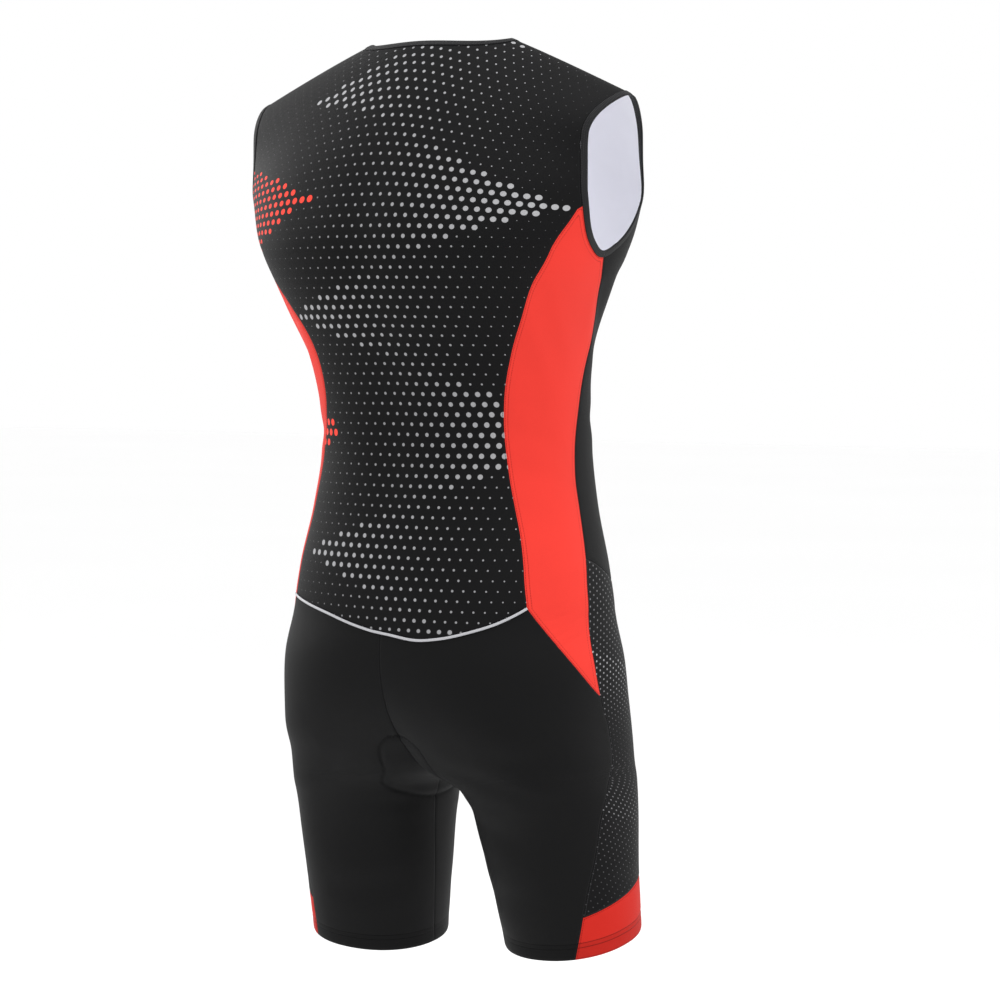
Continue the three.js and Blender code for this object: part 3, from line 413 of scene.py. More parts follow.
    def armhole_front(self, side: Side) -> Grid:
        """Front edge of the armhole, from its foot up to the shoulder."""
        places = self.armhole(side, "front", self.steps(self.armhole_bottom_z, 0, 11, 1.6))
        places[0] = self.armhole_under(side)[-1]
        return places

    def neck_places(self, side: Side, turn: Grid, part: str) -> Grid:
        """Places on the neckline, an oval from above: 0 degrees at the back and 180 at the front."""
        lateral = FORM.neck_half * np.sin(np.radians(turn))
        reach = np.abs(np.cos(np.radians(turn)))

        def bearing(z: Grid) -> Grid:
            """Angle at which a height's section has the neckline's distance from the mid-plane."""
            section = FORM.section(z)
            angle = np.degrees(np.arcsin((lateral / section["half"]) ** (section["power"] / 2)))
            return angle if part == "back" else 180 - angle

        low = np.full_like(lateral, self.neck_lowest)
        high = np.zeros_like(lateral)
        halvings = 40
        for _ in range(halvings):
            z = (low + high) / 2
            away = np.abs(FORM.at_angle(side.value, bearing(z), z)[..., 1] - self.neck_ridge_y)
            over = away > self.neck_reach[part] * reach
            low = np.where(over, z, low)
            high = np.where(over, high, z)
        z = np.where(reach < 1e-6, 0, low)
        return np.stack([side.value * FORM.share(bearing(z), z), z], -1)

    def neckline(self, side: Side, part: str) -> Grid:
        """The neckline from the centre back, or from the zip, to the shoulder seam."""
        if part == "back":
            return self.neck_places(side, self.steps(0, 90, 5), part)
        zip_turn = 180 - math.degrees(math.asin(self.zip_half_gap / FORM.neck_half))
        return self.neck_places(side, self.steps(zip_turn, 90, 9), part)

    def shoulder(self, side: Side, part: str) -> Grid:
        """Shoulder seam along the ridge, from the neck to the tip."""
        start = self.neck_places(side, np.array([90.0]), part)[0, 0]
        end = self.armhole(side, part, np.array([0.0]))[0, 0]
        w = self.steps(start, end, 6)
        return np.stack([w, np.zeros_like(w)], -1)

    def round_seam(self, table: Table, side: Side, angle: Grid) -> Grid:
        """Places on a seam that runs round the body."""
        angle = np.asarray(angle, float)
        z = np.full_like(angle, table.rows[0][1])
        rounds = 8
        for _ in range(rounds):
            turned = -side.value * angle if table is self.piping else angle
            if table is self.waist_front:
                twist = side.value * self.twist.read(z, "degrees")
                turned = turned - twist * smooth((180 - angle) / 60)
            z = table.read(turned, "z")
        if table is self.cuff and side is Side.LEFT:
            z = z + self.hem_height(Side.LEFT, angle) - self.hem_height(Side.RIGHT, angle)
        return np.stack([side.value * FORM.share_from_centre(angle, z), z], -1)

    def meeting(self, side: Side, down: Table, around: Table) -> tuple[float, float]:
        """Height and angle where a seam down the side meets a seam round the body."""
        z = around.rows[0][1]
        rounds = 20
        for _ in range(rounds):
            z = float(self.round_seam(around, side, self.seam_angle(side, down, np.array([z])))[0, 1])
        return z, float(self.seam_angle(side, down, np.array([z]))[0])

    def hem_height(self, side: Side, angle: Grid) -> Grid:
        """Height of the leg's hem at an angle."""
        depth, towards = self.hem_dip[side]
        return self.hem_z - depth * np.cos(np.radians(np.asarray(angle, float) - towards))

    def hem(self, side: Side, angle: Grid) -> Grid:
        """Places on the leg's hem."""
        z = self.hem_height(side, angle)
        return np.stack([side.value * FORM.share(angle, z), z], -1)

    def hem_meeting(self, side: Side, table: Table) -> tuple[float, float]:
        """Height and angle where a leg seam runs out into the hem."""
        z = self.hem_z
        rounds = 20
        for _ in range(rounds):
            z = float(self.hem(side, self.seam_angle(side, table, np.array([z])))[0, 1])
        return z, float(self.seam_angle(side, table, np.array([z]))[0])

    def centre_line(self, side: Side, share: float, hem_angle: float, top_z: float) -> Grid:
        """Centre line of the shorts from the hem over the crotch, finest at the crotch."""
        hem = float(self.hem(side, np.array([hem_angle]))[0, 1])
        below = self.crotch_z + (hem - self.crotch_z) * self.steps(1, 0, 9) ** 1.7
        above = self.crotch_z + (top_z - self.crotch_z) * self.steps(0, 1, 10) ** 1.8
        z = np.concatenate([below, above[1:]])
        return np.stack([np.full_like(z, side.value * share), z], -1)

    def zip_edge(self, side: Side, z: Grid) -> Grid:
        """Centre edge of a front panel, which leaves room for the zip."""
        opened = self.zip_half_gap * smooth((z - self.zip_taper_z) / (self.zip_end_z - self.zip_taper_z))
        return FORM.across_chest(side.value, opened, z)

    def patch(self, left: Grid, right: Grid, top: Grid, bottom: Grid) -> Grid:
        """Grid of places between four boundary curves, with fine loops next to its edges.

        Args:
            left: Left boundary, from the bottom up.
            right: Right boundary, from the bottom up.
            top: Top boundary, from the left.
            bottom: Bottom boundary, from the left.

        Returns:
            Places as columns by rows by two.
        """
        s = np.linspace(0, 1, len(top))[:, None, None]
        t = np.linspace(0, 1, len(left))[None, :, None]
        sides = left[None] * (1 - s) + right[None] * s
        ends = bottom[:, None] * (1 - t) + top[:, None] * t
        low = bottom[0] * (1 - s) + bottom[-1] * s
        high = top[0] * (1 - s) + top[-1] * s
        grid = sides + ends - (low * (1 - t) + high * t)
        for _ in range(2):
            grid = self.moved_edges(grid, self.seam_gap / 2, keep=False)
            for distance in self.edge_loops:
                grid = self.moved_edges(grid, distance, keep=True)
            grid = grid.transpose(1, 0, 2)
        return grid

    def moved_edges(self, grid: Grid, distance: float, keep: bool) -> Grid:
        """Moves the first and last columns inwards, or adds a column there and keeps them."""
        points = FORM.point(grid)
        columns = []
        for edge, inner in ((0, 1), (-1, -2)):
            rim = points[edge]
            along = unit(np.gradient(rim, axis=0))
            step = points[inner] - rim
            across = np.linalg.norm(step - along * (step * along).sum(-1, keepdims=True), axis=-1)
            share = np.minimum(distance / np.maximum(across, 1e-6), 0.6)[:, None]
            columns.append(grid[edge] * (1 - share) + grid[inner] * share)
        if keep:
            return np.concatenate([grid[:1], columns[0][None], grid[1:-1], columns[1][None], grid[-1:]])
        return np.concatenate([columns[0][None], grid[1:-1], columns[1][None]])


CUT = Cut()


@dataclass(frozen=True)
class Crease:
    """One soft trough in the cloth, along a bow through three places given as angle and height."""

    side: int
    start: tuple[float, float]
    bend: tuple[float, float]
    end: tuple[float, float]
    width: float
    depth: float

    def relief(self, points: Grid) -> Grid:
        """Height of the cloth's surface over the form, in millimetres, at each point."""
        t = np.linspace(0, 1, 25)[:, None]
        ends = np.array(self.start) * (1 - t) ** 2 + np.array(self.end) * t**2
        route = ends + np.array(self.bend) * 2 * t * (1 - t)
        line = FORM.at_angle(self.side, route[:, 0], route[:, 1])
        reach = 5 * self.width
        low = line.min(axis=0) - reach
        high = line.max(axis=0) + reach
        near = ((points > low) & (points < high)).all(axis=-1)
        relief = np.zeros(points.shape[:-1])
        if not near.any():
            return relief
        picked = points[near]
        nearest = np.full(len(picked), np.inf)
        place = np.zeros(len(picked))
        for k, (a, b) in enumerate(zip(line[:-1], line[1:])):
            span = b - a
            share = np.clip(((picked - a) @ span) / (span @ span), 0, 1)
            away = np.linalg.norm(picked - a - share[:, None] * span, axis=-1)
            closer = away < nearest
            nearest = np.where(closer, away, nearest)
            place = np.where(closer, (k + share) / (len(line) - 1), place)
        fade = np.sin(np.pi * np.clip(place, 0, 1)) ** 0.7
        trough = -np.exp(-((nearest / self.width) ** 2))
        lip = 0.4 * np.exp(-(((nearest - 2 * self.width) / self.width) ** 2))
        relief[near] = self.depth * fade * (trough + lip)
        return relief


@dataclass(frozen=True)
class Creases:
    """The suit's creases and the shallow hollow down the spine."""

    spine_width: float = 26
    spine_depth: float = 1.6
    spine_top: float = -90
    spine_bottom: float = -470
    main: tuple[Crease, ...] = (
        Crease(-1, (58, -214), (66, -262), (84, -318), 9, 1.5),
        Crease(-1, (50, -236), (57, -290), (72, -352), 12, 1.2),
        Crease(-1, (96, -226), (104, -262), (122, -300), 10, 1.7),
        Crease(-1, (112, -214), (126, -236), (146, -262), 9, 1.3),
        Crease(-1, (34, -352), (52, -362), (84, -384), 8, 1.0),
        Crease(-1, (78, -398), (60, -408), (38, -404), 10, 0.9),
        Crease(-1, (110, -352), (134, -366), (156, -372), 9, 1.5),
        Crease(-1, (122, -392), (142, -402), (168, -404), 11, 1.1),
        Crease(-1, (6, -668), (34, -676), (62, -664), 13, 1.4),
        Crease(-1, (-22, -676), (6, -700), (30, -708), 9, 1.2),
        Crease(-1, (-70, -716), (-30, -742), (12, -752), 12, 1.3),
        Crease(-1, (236, -676), (206, -652), (178, -632), 9, 1.6),
        Crease(-1, (246, -706), (212, -694), (176, -684), 11, 1.3),
        Crease(-1, (60, -796), (92, -806), (128, -800), 10, 0.9),
        Crease(-1, (-60, -806), (-24, -812), (16, -806), 12, 0.9),
        Crease(-1, (152, -800), (190, -812), (232, -806), 11, 1.0),
        Crease(1, (60, -216), (68, -264), (86, -322), 9, 1.4),
        Crease(1, (48, -240), (56, -292), (70, -344), 11, 1.1),
        Crease(1, (100, -222), (110, -256), (130, -290), 10, 1.6),
        Crease(1, (118, -212), (132, -240), (150, -270), 8, 1.2),
        Crease(1, (38, -360), (58, -372), (88, -376), 9, 1.1),
        Crease(1, (104, -360), (130, -376), (160, -384), 9, 1.4),
        Crease(1, (126, -404), (148, -410), (170, -408), 10, 1.0),
        Crease(1, (8, -662), (36, -674), (66, -670), 13, 1.3),
        Crease(1, (232, -670), (204, -648), (176, -626), 9, 1.5),
        Crease(1, (244, -712), (214, -702), (182, -696), 10, 1.2),
        Crease(1, (50, -788), (86, -800), (126, -796), 10, 0.9),
        Crease(1, (-66, -800), (-30, -810), (8, -804), 12, 0.9),
        Crease(1, (158, -806), (194, -816), (236, -808), 11, 1.0),
    )
    rib_side: int = -1
    rib_count: int = 11
    rib_top: float = -470
    rib_pitch: float = 8.5
    rib_width: float = 2.2
    rib_depth: float = 0.45

    def ribs(self) -> list[Crease]:
        """Fine slanting creases in the right side panel over the hip."""
        made = []
        for k in range(self.rib_count):
            z = self.rib_top - self.rib_pitch * k
            wander = math.sin(2.3 * k)
            start = (58 + 4 * wander, z - 12)
            end = (84 + 3 * math.cos(1.7 * k), z + 8 + 3 * wander)
            bend = ((start[0] + end[0]) / 2, z - 5 + 3 * math.cos(2.9 * k))
            depth = self.rib_depth * (0.75 + 0.35 * math.sin(1.3 * k + 1))
            made.append(Crease(self.rib_side, start, bend, end, self.rib_width, depth))
        return made

    def relief(self, points: Grid, z: Grid) -> Grid:
        """Height over the form of every crease together, in millimetres."""
        total = np.zeros(points.shape[:-1])
        for crease in (*self.main, *self.ribs()):
            total += crease.relief(points)
        ease = 70
        inside = smooth((self.spine_top - z) / ease) * smooth((z - self.spine_bottom) / ease)
        behind = points[..., 1] > 0
        hollow = np.exp(-((points[..., 0] / self.spine_width) ** 2))
        return total - np.where(behind, self.spine_depth * hollow * inside, 0)


@dataclass(frozen=True)
class PadOutline:
    """Where the seat pad is sewn on: its outline on one leg, and its relief through the cloth."""

    table: Table = Table(
        ("t", "crease", "edge", "edge_z"),
        (
            (0, -32, -26, -652), (0.1, -38, -24, -662), (0.2, -46, -28, -680), (0.3, -58, -41, -700),
            (0.4, -72, -62, -713), (0.5, -90, -90, -721), (0.6, -108, -118, -713),
            (0.7, -122, -139, -700), (0.8, -134, -152, -680), (0.9, -142, -156, -662),
            (1, -148, -154, -652),
        ),
    )
    rise: float = 1.0
    rise_over: float = 7
    groove: float = 0.9
    groove_width: float = 1.5
    stations: int = 61
    highest_z: float = -546

    def crease_height(self, angle: Grid) -> Grid:
        """Height at which the mid-plane cuts the sections at an angle."""
        low = np.full_like(angle, CUT.crotch_z)
        high = np.full_like(angle, self.highest_z)
        halvings = 40
        for _ in range(halvings):
            z = (low + high) / 2
            inside = FORM.mid_angle(FORM.section(z)) > angle
            low = np.where(inside, z, low)
            high = np.where(inside, high, z)
        return low

    def route(self, t: Grid, share: Grid) -> Grid:
        """Angle and height across the pad, from the crease at 0 to the pad's edge at 1."""
        crease = self.table.read(t, "crease")
        past = np.minimum(np.minimum(-crease, 180 + crease), 89)
        start = self.crease_height(past)
        angle = crease + (self.table.read(t, "edge") - crease) * share
        return np.stack([angle, start + (self.table.read(t, "edge_z") - start) * share], -1)

    def measure(self, side: Side, places: Grid, points: Grid) -> Grid:
        """Signed distance past the outline and length along it, in millimetres."""
        t = np.linspace(0, 1, self.stations)
        edge = self.route(t, np.ones_like(t))
        crease = self.route(t, np.zeros_like(t))
        loop = np.concatenate([crease[:1], edge, crease[-1:]])
        line = FORM.at_angle(side.value, loop[:, 0], loop[:, 1])
        marks = lengths_along(line)
        nearest = np.full(points.shape[:-1], np.inf)
        along = np.zeros(points.shape[:-1])
        for k, (a, b) in enumerate(zip(line[:-1], line[1:])):
            span = b - a
            share = np.clip(((points - a) @ span) / max(span @ span, 1e-9), 0, 1)
            away = np.linalg.norm(points - a - share[..., None] * span, axis=-1)
            closer = away < nearest
            nearest = np.where(closer, away, nearest)
            along = np.where(closer, marks[k] + share * (marks[k + 1] - marks[k]), along)
        angle = FORM.angle_of(places)
        angle = np.where(angle > 180, angle - 360, angle)
        z = places[..., 1]
        polygon = np.concatenate([edge, crease[::-1]])
        inside = np.zeros(points.shape[:-1], bool)
        for a, b in zip(polygon, np.roll(polygon, -1, axis=0)):
            spans = (a[1] > z) != (b[1] > z)
            cross = a[0] + (z - a[1]) / (b[1] - a[1] + 1e-12) * (b[0] - a[0])
            inside ^= spans & (angle < cross)
        low = polygon.min(axis=0)
        high = polygon.max(axis=0)
        inside &= (angle > low[0]) & (angle < high[0]) & (z > low[1])
        return np.stack([np.where(inside, -nearest, nearest), along], -1)

    def relief(self, distance: Grid) -> Grid:
        """Height over the form where the pad lifts the cloth and its stitching pulls it in."""
        lifted = self.rise * smooth(-distance / self.rise_over)
        return lifted - self.groove * np.exp(-((distance / self.groove_width) ** 2))


class Signal:
    """A shader value or colour socket on which Python's operators add nodes."""

    def __init__(self, graph: "Graph", socket: bpy.types.NodeSocket) -> None:
        """Wraps one output socket of a graph."""
        self.graph = graph
        self.socket = socket

    def math(self, operation: str, *others: "Signal | float", clamp: bool = False) -> "Signal":
        """Adds one Math node with this value first."""
        return self.graph.math(operation, self, *others, clamp=clamp)

    def __add__(self, other: "Signal | float") -> "Signal":
        """Sum."""
        return self.math("ADD", other)

    __radd__ = __add__

    def __sub__(self, other: "Signal | float") -> "Signal":
        """Difference."""
        return self.math("SUBTRACT", other)

    def __rsub__(self, other: float) -> "Signal":
        """Difference the other way round."""
        return self.graph.math("SUBTRACT", other, self)

    def __mul__(self, other: "Signal | float") -> "Signal":
        """Product."""
        return self.math("MULTIPLY", other)

    __rmul__ = __mul__

    def __truediv__(self, other: "Signal | float") -> "Signal":
        """Quotient."""
        return self.math("DIVIDE", other)

    def __mod__(self, other: "Signal | float") -> "Signal":
        """Remainder that is never negative."""
        return self.math("FLOORED_MODULO", other)

    def __lt__(self, other: "Signal | float") -> "Signal":
        """One where this value is less."""
        return self.math("LESS_THAN", other)

    def __abs__(self) -> "Signal":
        """Size without the sign."""
        return self.math("ABSOLUTE")

    def floor(self) -> "Signal":
        """Whole part."""
        return self.math("FLOOR")

    def sine(self) -> "Signal":
        """Sine of the value in radians."""
        return self.math("SINE")

    def clipped(self) -> "Signal":
        """The value kept between 0 and 1."""
        return self.math("ADD", 0.0, clamp=True)

    def wave(self, period: float) -> "Signal":
        """Sine wave of a period."""
        return (self * (2 * math.pi / period)).sine()

    def repeat(self, period: float) -> "Signal":
        """Distance from the middle of each repeat, as a share of the period."""
        return abs((self / period) % 1 - 0.5)

    def below(self, edge: "Signal | float", softness: float) -> "Signal":
        """One below an edge and nothing above it, over a soft border."""
        return ((edge - self) / softness + 0.5).clipped()


class Graph:
    """Node tree of one material."""

    def __init__(self, name: str) -> None:
        """Makes an empty node material."""
        self.material = bpy.data.materials.new(name)
        self.material.use_nodes = True
        self.tree = self.material.node_tree
        self.tree.nodes.clear()

    def node(self, kind: str, settings: dict | None = None, inputs: dict | None = None) -> bpy.types.Node:
        """Adds a node, sets it up and then fills or links its sockets.

        Args:
            kind: Node type.
            settings: Attributes of the node.
            inputs: Sockets by name or place, with a number, a tuple, a Signal or a socket.

        Returns:
            The node.
        """
        made = self.tree.nodes.new(kind)
        for name, value in (settings or {}).items():
            setattr(made, name, value)
        for name, value in (inputs or {}).items():
            if isinstance(value, Signal):
                self.tree.links.new(value.socket, made.inputs[name])
            elif isinstance(value, bpy.types.NodeSocket):
                self.tree.links.new(value, made.inputs[name])
            else:
                made.inputs[name].default_value = value
        return made

    def math(self, operation: str, *values: "Signal | float", clamp: bool = False) -> Signal:
        """Adds a Math node."""
        settings = {"operation": operation, "use_clamp": clamp}
        made = self.node("ShaderNodeMath", settings, dict(enumerate(values)))
        return Signal(self, made.outputs[0])

    def uv(self, name: str) -> tuple[Signal, Signal]:
        """Both coordinates of a UV map, in millimetres."""
        made = self.node("ShaderNodeUVMap", {"uv_map": name})
        split = self.node("ShaderNodeSeparateXYZ", None, {0: made.outputs[0]})
        return Signal(self, split.outputs[0]) * 1000, Signal(self, split.outputs[1]) * 1000

    def dots(self, pitch_round: float, pitch_up: float, lift: float = 0) -> tuple[Signal, Signal, Signal]:
        """Staggered dots on the cloth.

        Args:
            pitch_round: Distance between dots round the body, in millimetres.
            pitch_up: Distance between rows.
            lift: Share of a row by which the rows are moved down.

        Returns:
            Distance from the nearest dot's centre, and that centre's two coordinates.
        """
        u, v = self.uv("Cloth")
        row = (v / pitch_up + lift).floor()
        shift = (row % 2) * 0.5
        column = (u / pitch_round + shift).floor()
        centre_u = (column + 0.5 - shift) * pitch_round
        centre_v = (row + (0.5 - lift)) * pitch_up
        across = u - centre_u
        up = v - centre_v
        return (across * across + up * up).math("SQRT"), centre_u, centre_v

    def noise(self, scale: float, detail: float = 2) -> Signal:
        """Noise on the object's own coordinates, with features about 1/scale metres across."""
        place = self.node("ShaderNodeTexCoord")
        inputs = {"Vector": place.outputs["Object"], "Scale": scale, "Detail": detail}
        made = self.node("ShaderNodeTexNoise", None, inputs)
        return Signal(self, made.outputs[0])

    def mix(self, share: "Signal | float", first: object, second: object) -> Signal:
        """Mixes two colours."""
        made = self.node("ShaderNodeMix", {"data_type": "RGBA"}, {0: share, 6: first, 7: second})
        return Signal(self, made.outputs[2])

    def shaded(self, colour: object, factor: Signal) -> Signal:
        """Multiplies a colour by a value."""
        grey = self.node("ShaderNodeCombineColor", None, {0: factor, 1: factor, 2: factor})
        settings = {"data_type": "RGBA", "blend_type": "MULTIPLY"}
        made = self.node("ShaderNodeMix", settings, {0: 1.0, 6: colour, 7: grey.outputs[0]})
        return Signal(self, made.outputs[2])

    def finish(
        self, colour: Signal, roughness: Signal, height: Signal, depth: float, **constants: object
    ) -> None:
        """Ends the tree in a Principled shader.

        Args:
            colour: Base colour.
            roughness: Roughness.
            height: Relief from 0 to 1.
            depth: What a height of 1 measures, in metres.
            **constants: Values of further sockets, with underscores for spaces.
        """
        bump = self.node("ShaderNodeBump", None, {"Strength": 1.0, "Distance": depth, "Height": height})
        inputs = {"Base Color": colour, "Roughness": roughness, "Normal": bump.outputs[0]}
        inputs |= {name.replace("_", " "): value for name, value in constants.items()}
        shader = self.node("ShaderNodeBsdfPrincipled", None, inputs)
        self.node("ShaderNodeOutputMaterial", None, {0: shader.outputs[0]})


def rgba(red: float, green: float, blue: float) -> tuple[float, float, float, float]:
    """Colour as a socket takes it."""
    return red, green, blue, 1.0


@dataclass(frozen=True)
class HalftonePrint:
    """Staggered dots that swell in wedges, turn about from one side of the back to the other."""

    pitch_round: float = 10.6
    pitch_up: float = 9.5
    left_apex: float = 110
    right_apex: float = -201
    wedge_height: float = 113
    first_right: float = 228
    right_sizes: tuple[float, float] = (0.35, 3.3)
    left_sizes: tuple[float, float] = (0.1, 2.75)
    swell_power: float = 1.1
    small_share: float = 0.55
    red_apex: float = 0.145
    red_slope: float = 1.3
    red_size: float = 3.5
    red_fall: float = 3.2
    red_highest: float = 330
    softness: float = 0.4

    def masks(self, graph: Graph) -> tuple[Signal, Signal]:
        """Grey dots and red dots, each from 0 to 1."""
        away, centre_u, centre_v = graph.dots(self.pitch_round, self.pitch_up, 0.5)
        side = (self.left_apex - centre_u) / (self.left_apex - self.right_apex)
        fold = abs(((self.first_right - centre_v) / self.wedge_height + 1) % 2 - 1)
        rightward = fold < 1 - side
        to_right = side.clipped().math("POWER", self.swell_power)
        to_left = (1 - side.clipped()).math("POWER", self.swell_power)
        right_radius = to_right * self.right_sizes[1] + self.right_sizes[0]
        left_radius = to_left * self.left_sizes[1] + self.left_sizes[0]
        radius = rightward * right_radius + (1 - rightward) * left_radius
        strength = rightward * to_right + (1 - rightward) * to_left
        past = self.red_apex - side
        is_red = (fold < past * self.red_slope) * (centre_v < self.red_highest)
        red_radius = self.red_size - past * self.red_fall
        tint = strength * (1 - self.small_share) + self.small_share
        grey = away.below(radius, self.softness) * (1 - is_red) * tint
        red = away.below(red_radius, self.softness) * is_red
        return grey, red


@dataclass(frozen=True)
class FineDotPrint:
    """Small dots in standing columns, which fade and swell again down each long band."""

    pitch_round: float = 11.6
    pitch_up: float = 3.35
    band_height: float = 196
    band_top: float = -130
    band_slope: float = 0.32
    lower_share: float = 0.6
    upper_swelling: float = 0.45
    last_band: float = -326
    last_fall: float = 0.7
    small: float = 0.55
    large: float = 1.1
    softness: float = 0.35

    def mask(self, graph: Graph) -> tuple[Signal, Signal]:
        """Dots from 0 to 1, and how large each one is."""
        away, centre_u, centre_v = graph.dots(self.pitch_round, self.pitch_up)
        slanted = centre_v + abs(centre_u) * self.band_slope
        phase = ((slanted - self.band_top) / self.band_height) % 1
        lower = self.lower_share
        swelling = abs(phase * 2 - 1) * (phase * (1 - lower) + lower)
        upper = 1 - (slanted < self.band_top)
        swelling = swelling * (1 - upper) + upper * self.upper_swelling
        swelling = swelling * (1 - (slanted < self.last_band) * self.last_fall)
        return away.below(swelling * (self.large - self.small) + self.small, self.softness), swelling


@dataclass(frozen=True)
class KnitFinish:
    """Smooth stretch knit with its print, seam stitching and hem; the folded band of the hem is darkened
    as painted shade.
    """

    name: str
    colour: tuple[float, float, float, float]
    thread: tuple[float, float, float, float]
    print: Print = Print.PLAIN
    sheen: float = 0.012
    base_roughness: float = 0.55
    wale: float = 0.8
    course: float = 0.95
    stitch_lines: tuple[float, ...] = (1.3,)
    stitch_length: float = 2.3
    hem_lines: tuple[float, ...] = (11.5, 16.0)
    painted_hem_shade: float = 0.8
    dot_grey: tuple[float, float, float, float] = rgba(0.32, 0.32, 0.33)
    dot_red: tuple[float, float, float, float] = rgba(0.86, 0.05, 0.03)
    groove: float = 0.00035
    specular: float = 0.07
    zigzag_pitch: float = 3.4
    zigzag_half: float = 1.7
    thread_half: float = 0.28
    cloud_depth: float = 0.2
    grain_depth: float = 0.12

    def material(self) -> bpy.types.Material:
        """Builds the knit's node tree."""
        graph = Graph(self.name)
        u, v = graph.uv("Cloth")
        edge, along = graph.uv("Seam")
        hem, _ = graph.uv("Trim")
        pad_edge, pad_along = graph.uv("Pad")
        loops = u.wave(self.wale) * v.wave(self.course)
        cloud = graph.noise(9, 3)
        grain = graph.noise(1400, 1)
        mottle = cloud * self.cloud_depth + (grain - 0.5) * self.grain_depth
        colour = graph.shaded(self.colour, mottle + (1 - self.cloud_depth / 2))
        if self.print is Print.HALFTONE:
            grey, red = HalftonePrint().masks(graph)
            colour = graph.mix(grey, colour, self.dot_grey)
            colour = graph.mix(red, colour, self.dot_red)
        if self.print is Print.FINE_DOTS:
            dots, swelling = FineDotPrint().mask(graph)
            colour = graph.mix(dots * (swelling * 0.8 + 0.15), colour, self.dot_grey)
        height = loops * 0.1 + grain * 0.12 + 0.6
        dash = along.repeat(self.stitch_length).below(0.36, 0.12)
        for line in self.stitch_lines:
            near = abs(edge - line).below(self.thread_half, 0.25)
            colour = graph.mix(near * dash * 0.8, colour, self.thread)
            height = height - near * 0.35 + near * dash * 0.8
        hem_dash = u.repeat(self.stitch_length).below(0.38, 0.12)
        # Painted shade: the folded band of the hem, inside its last stitch line, is darkened in colour.
        folded = hem.below(self.hem_lines[-1], 1.2)
        colour = graph.shaded(colour, 1 - folded * (1 - self.painted_hem_shade))
        for line in self.hem_lines:
            near = abs(hem - line).below(0.45, 0.5)
            colour = graph.shaded(colour, 1 - near * 0.5)
            height = height - near * 0.9 + near * hem_dash * 0.5
        zigzag = pad_along.repeat(self.zigzag_pitch) * 4 - 1
        near = abs(pad_edge - zigzag * self.zigzag_half).below(0.5, 0.4)
        colour = graph.shaded(colour, 1 - near * 0.75)
        height = height - near * 2.4
        roughness = self.base_roughness + cloud * 0.14 + near * 0.3
        graph.finish(
            colour, roughness, height, self.groove, Sheen_Weight=self.sheen, Sheen_Roughness=0.35,
            Specular_IOR_Level=self.specular,
        )
        return graph.material


@dataclass(frozen=True)
class LiningFinish:
    """Unprinted inside of a knit."""

    name: str
    colour: tuple[float, float, float, float]
    base_roughness: float = 0.75
    rib: float = 1.1
    groove: float = 0.00025

    def material(self) -> bpy.types.Material:
        """Builds the inside's node tree."""
        graph = Graph(self.name)
        u, v = graph.uv("Cloth")
        loops = u.wave(self.rib) * v.wave(self.rib)
        cloud = graph.noise(14, 3)
        colour = graph.shaded(self.colour, 0.93 + cloud * 0.12)
        height = loops * 0.3 + graph.noise(1100, 1) * 0.3 + 0.4
        graph.finish(colour, self.base_roughness + cloud * 0.1, height, self.groove, Sheen_Weight=0.15)
        return graph.material


@dataclass(frozen=True)
class BandFinish:
    """Elastic binding or woven tape, ribbed across its length, with painted light on its knots and
    painted shade between its rows.
    """

    name: str
    colour: tuple[float, float, float, float]
    rib: float = 1.5
    row: float = 1.9
    base_roughness: float = 0.62
    sheen: float = 0.04
    specular: float = 0.25
    groove: float = 0.0004

    def material(self) -> bpy.types.Material:
        """Builds the band's node tree."""
        graph = Graph(self.name)
        along, across = graph.uv("Cloth")
        row = (across / self.row).floor()
        slanted = along + row * (self.rib / 2)
        ribs = slanted.wave(self.rib) * 0.5 + 0.5
        rows = across.repeat(self.row).below(0.4, 0.2)
        knot_relief_and_light = ribs * rows
        cloud = graph.noise(60, 2)
        # Painted light and shade: the raised knots are painted lighter and the gaps between rows darker,
        # besides their bump.
        colour = graph.shaded(self.colour, 0.3 + knot_relief_and_light * 1.3 + cloud * 0.2)
        roughness = self.base_roughness + cloud * 0.12
        graph.finish(
            colour, roughness, knot_relief_and_light, self.groove, Sheen_Weight=self.sheen,
            Specular_IOR_Level=self.specular,
        )
        return graph.material


@dataclass(frozen=True)
class PipingFinish:
    """Pale reflective piping with a fine grain of glass beads."""

    name: str = "pale_reflective_piping"
    colour: tuple[float, float, float, float] = rgba(0.36, 0.36, 0.38)
    base_roughness: float = 0.32
    twist: float = 1.6
    groove: float = 0.00015

    def material(self) -> bpy.types.Material:
        """Builds the piping's node tree."""
        graph = Graph(self.name)
        along, across = graph.uv("Cloth")
        beads = graph.noise(2600, 1)
        twill = (along + across * 0.8).wave(self.twist) * 0.5 + 0.5
        colour = graph.shaded(self.colour, 0.86 + beads * 0.16 + twill * 0.06)
        height = beads * 0.5 + twill * 0.5
        graph.finish(colour, self.base_roughness + beads * 0.2, height, self.groove)
        return graph.material


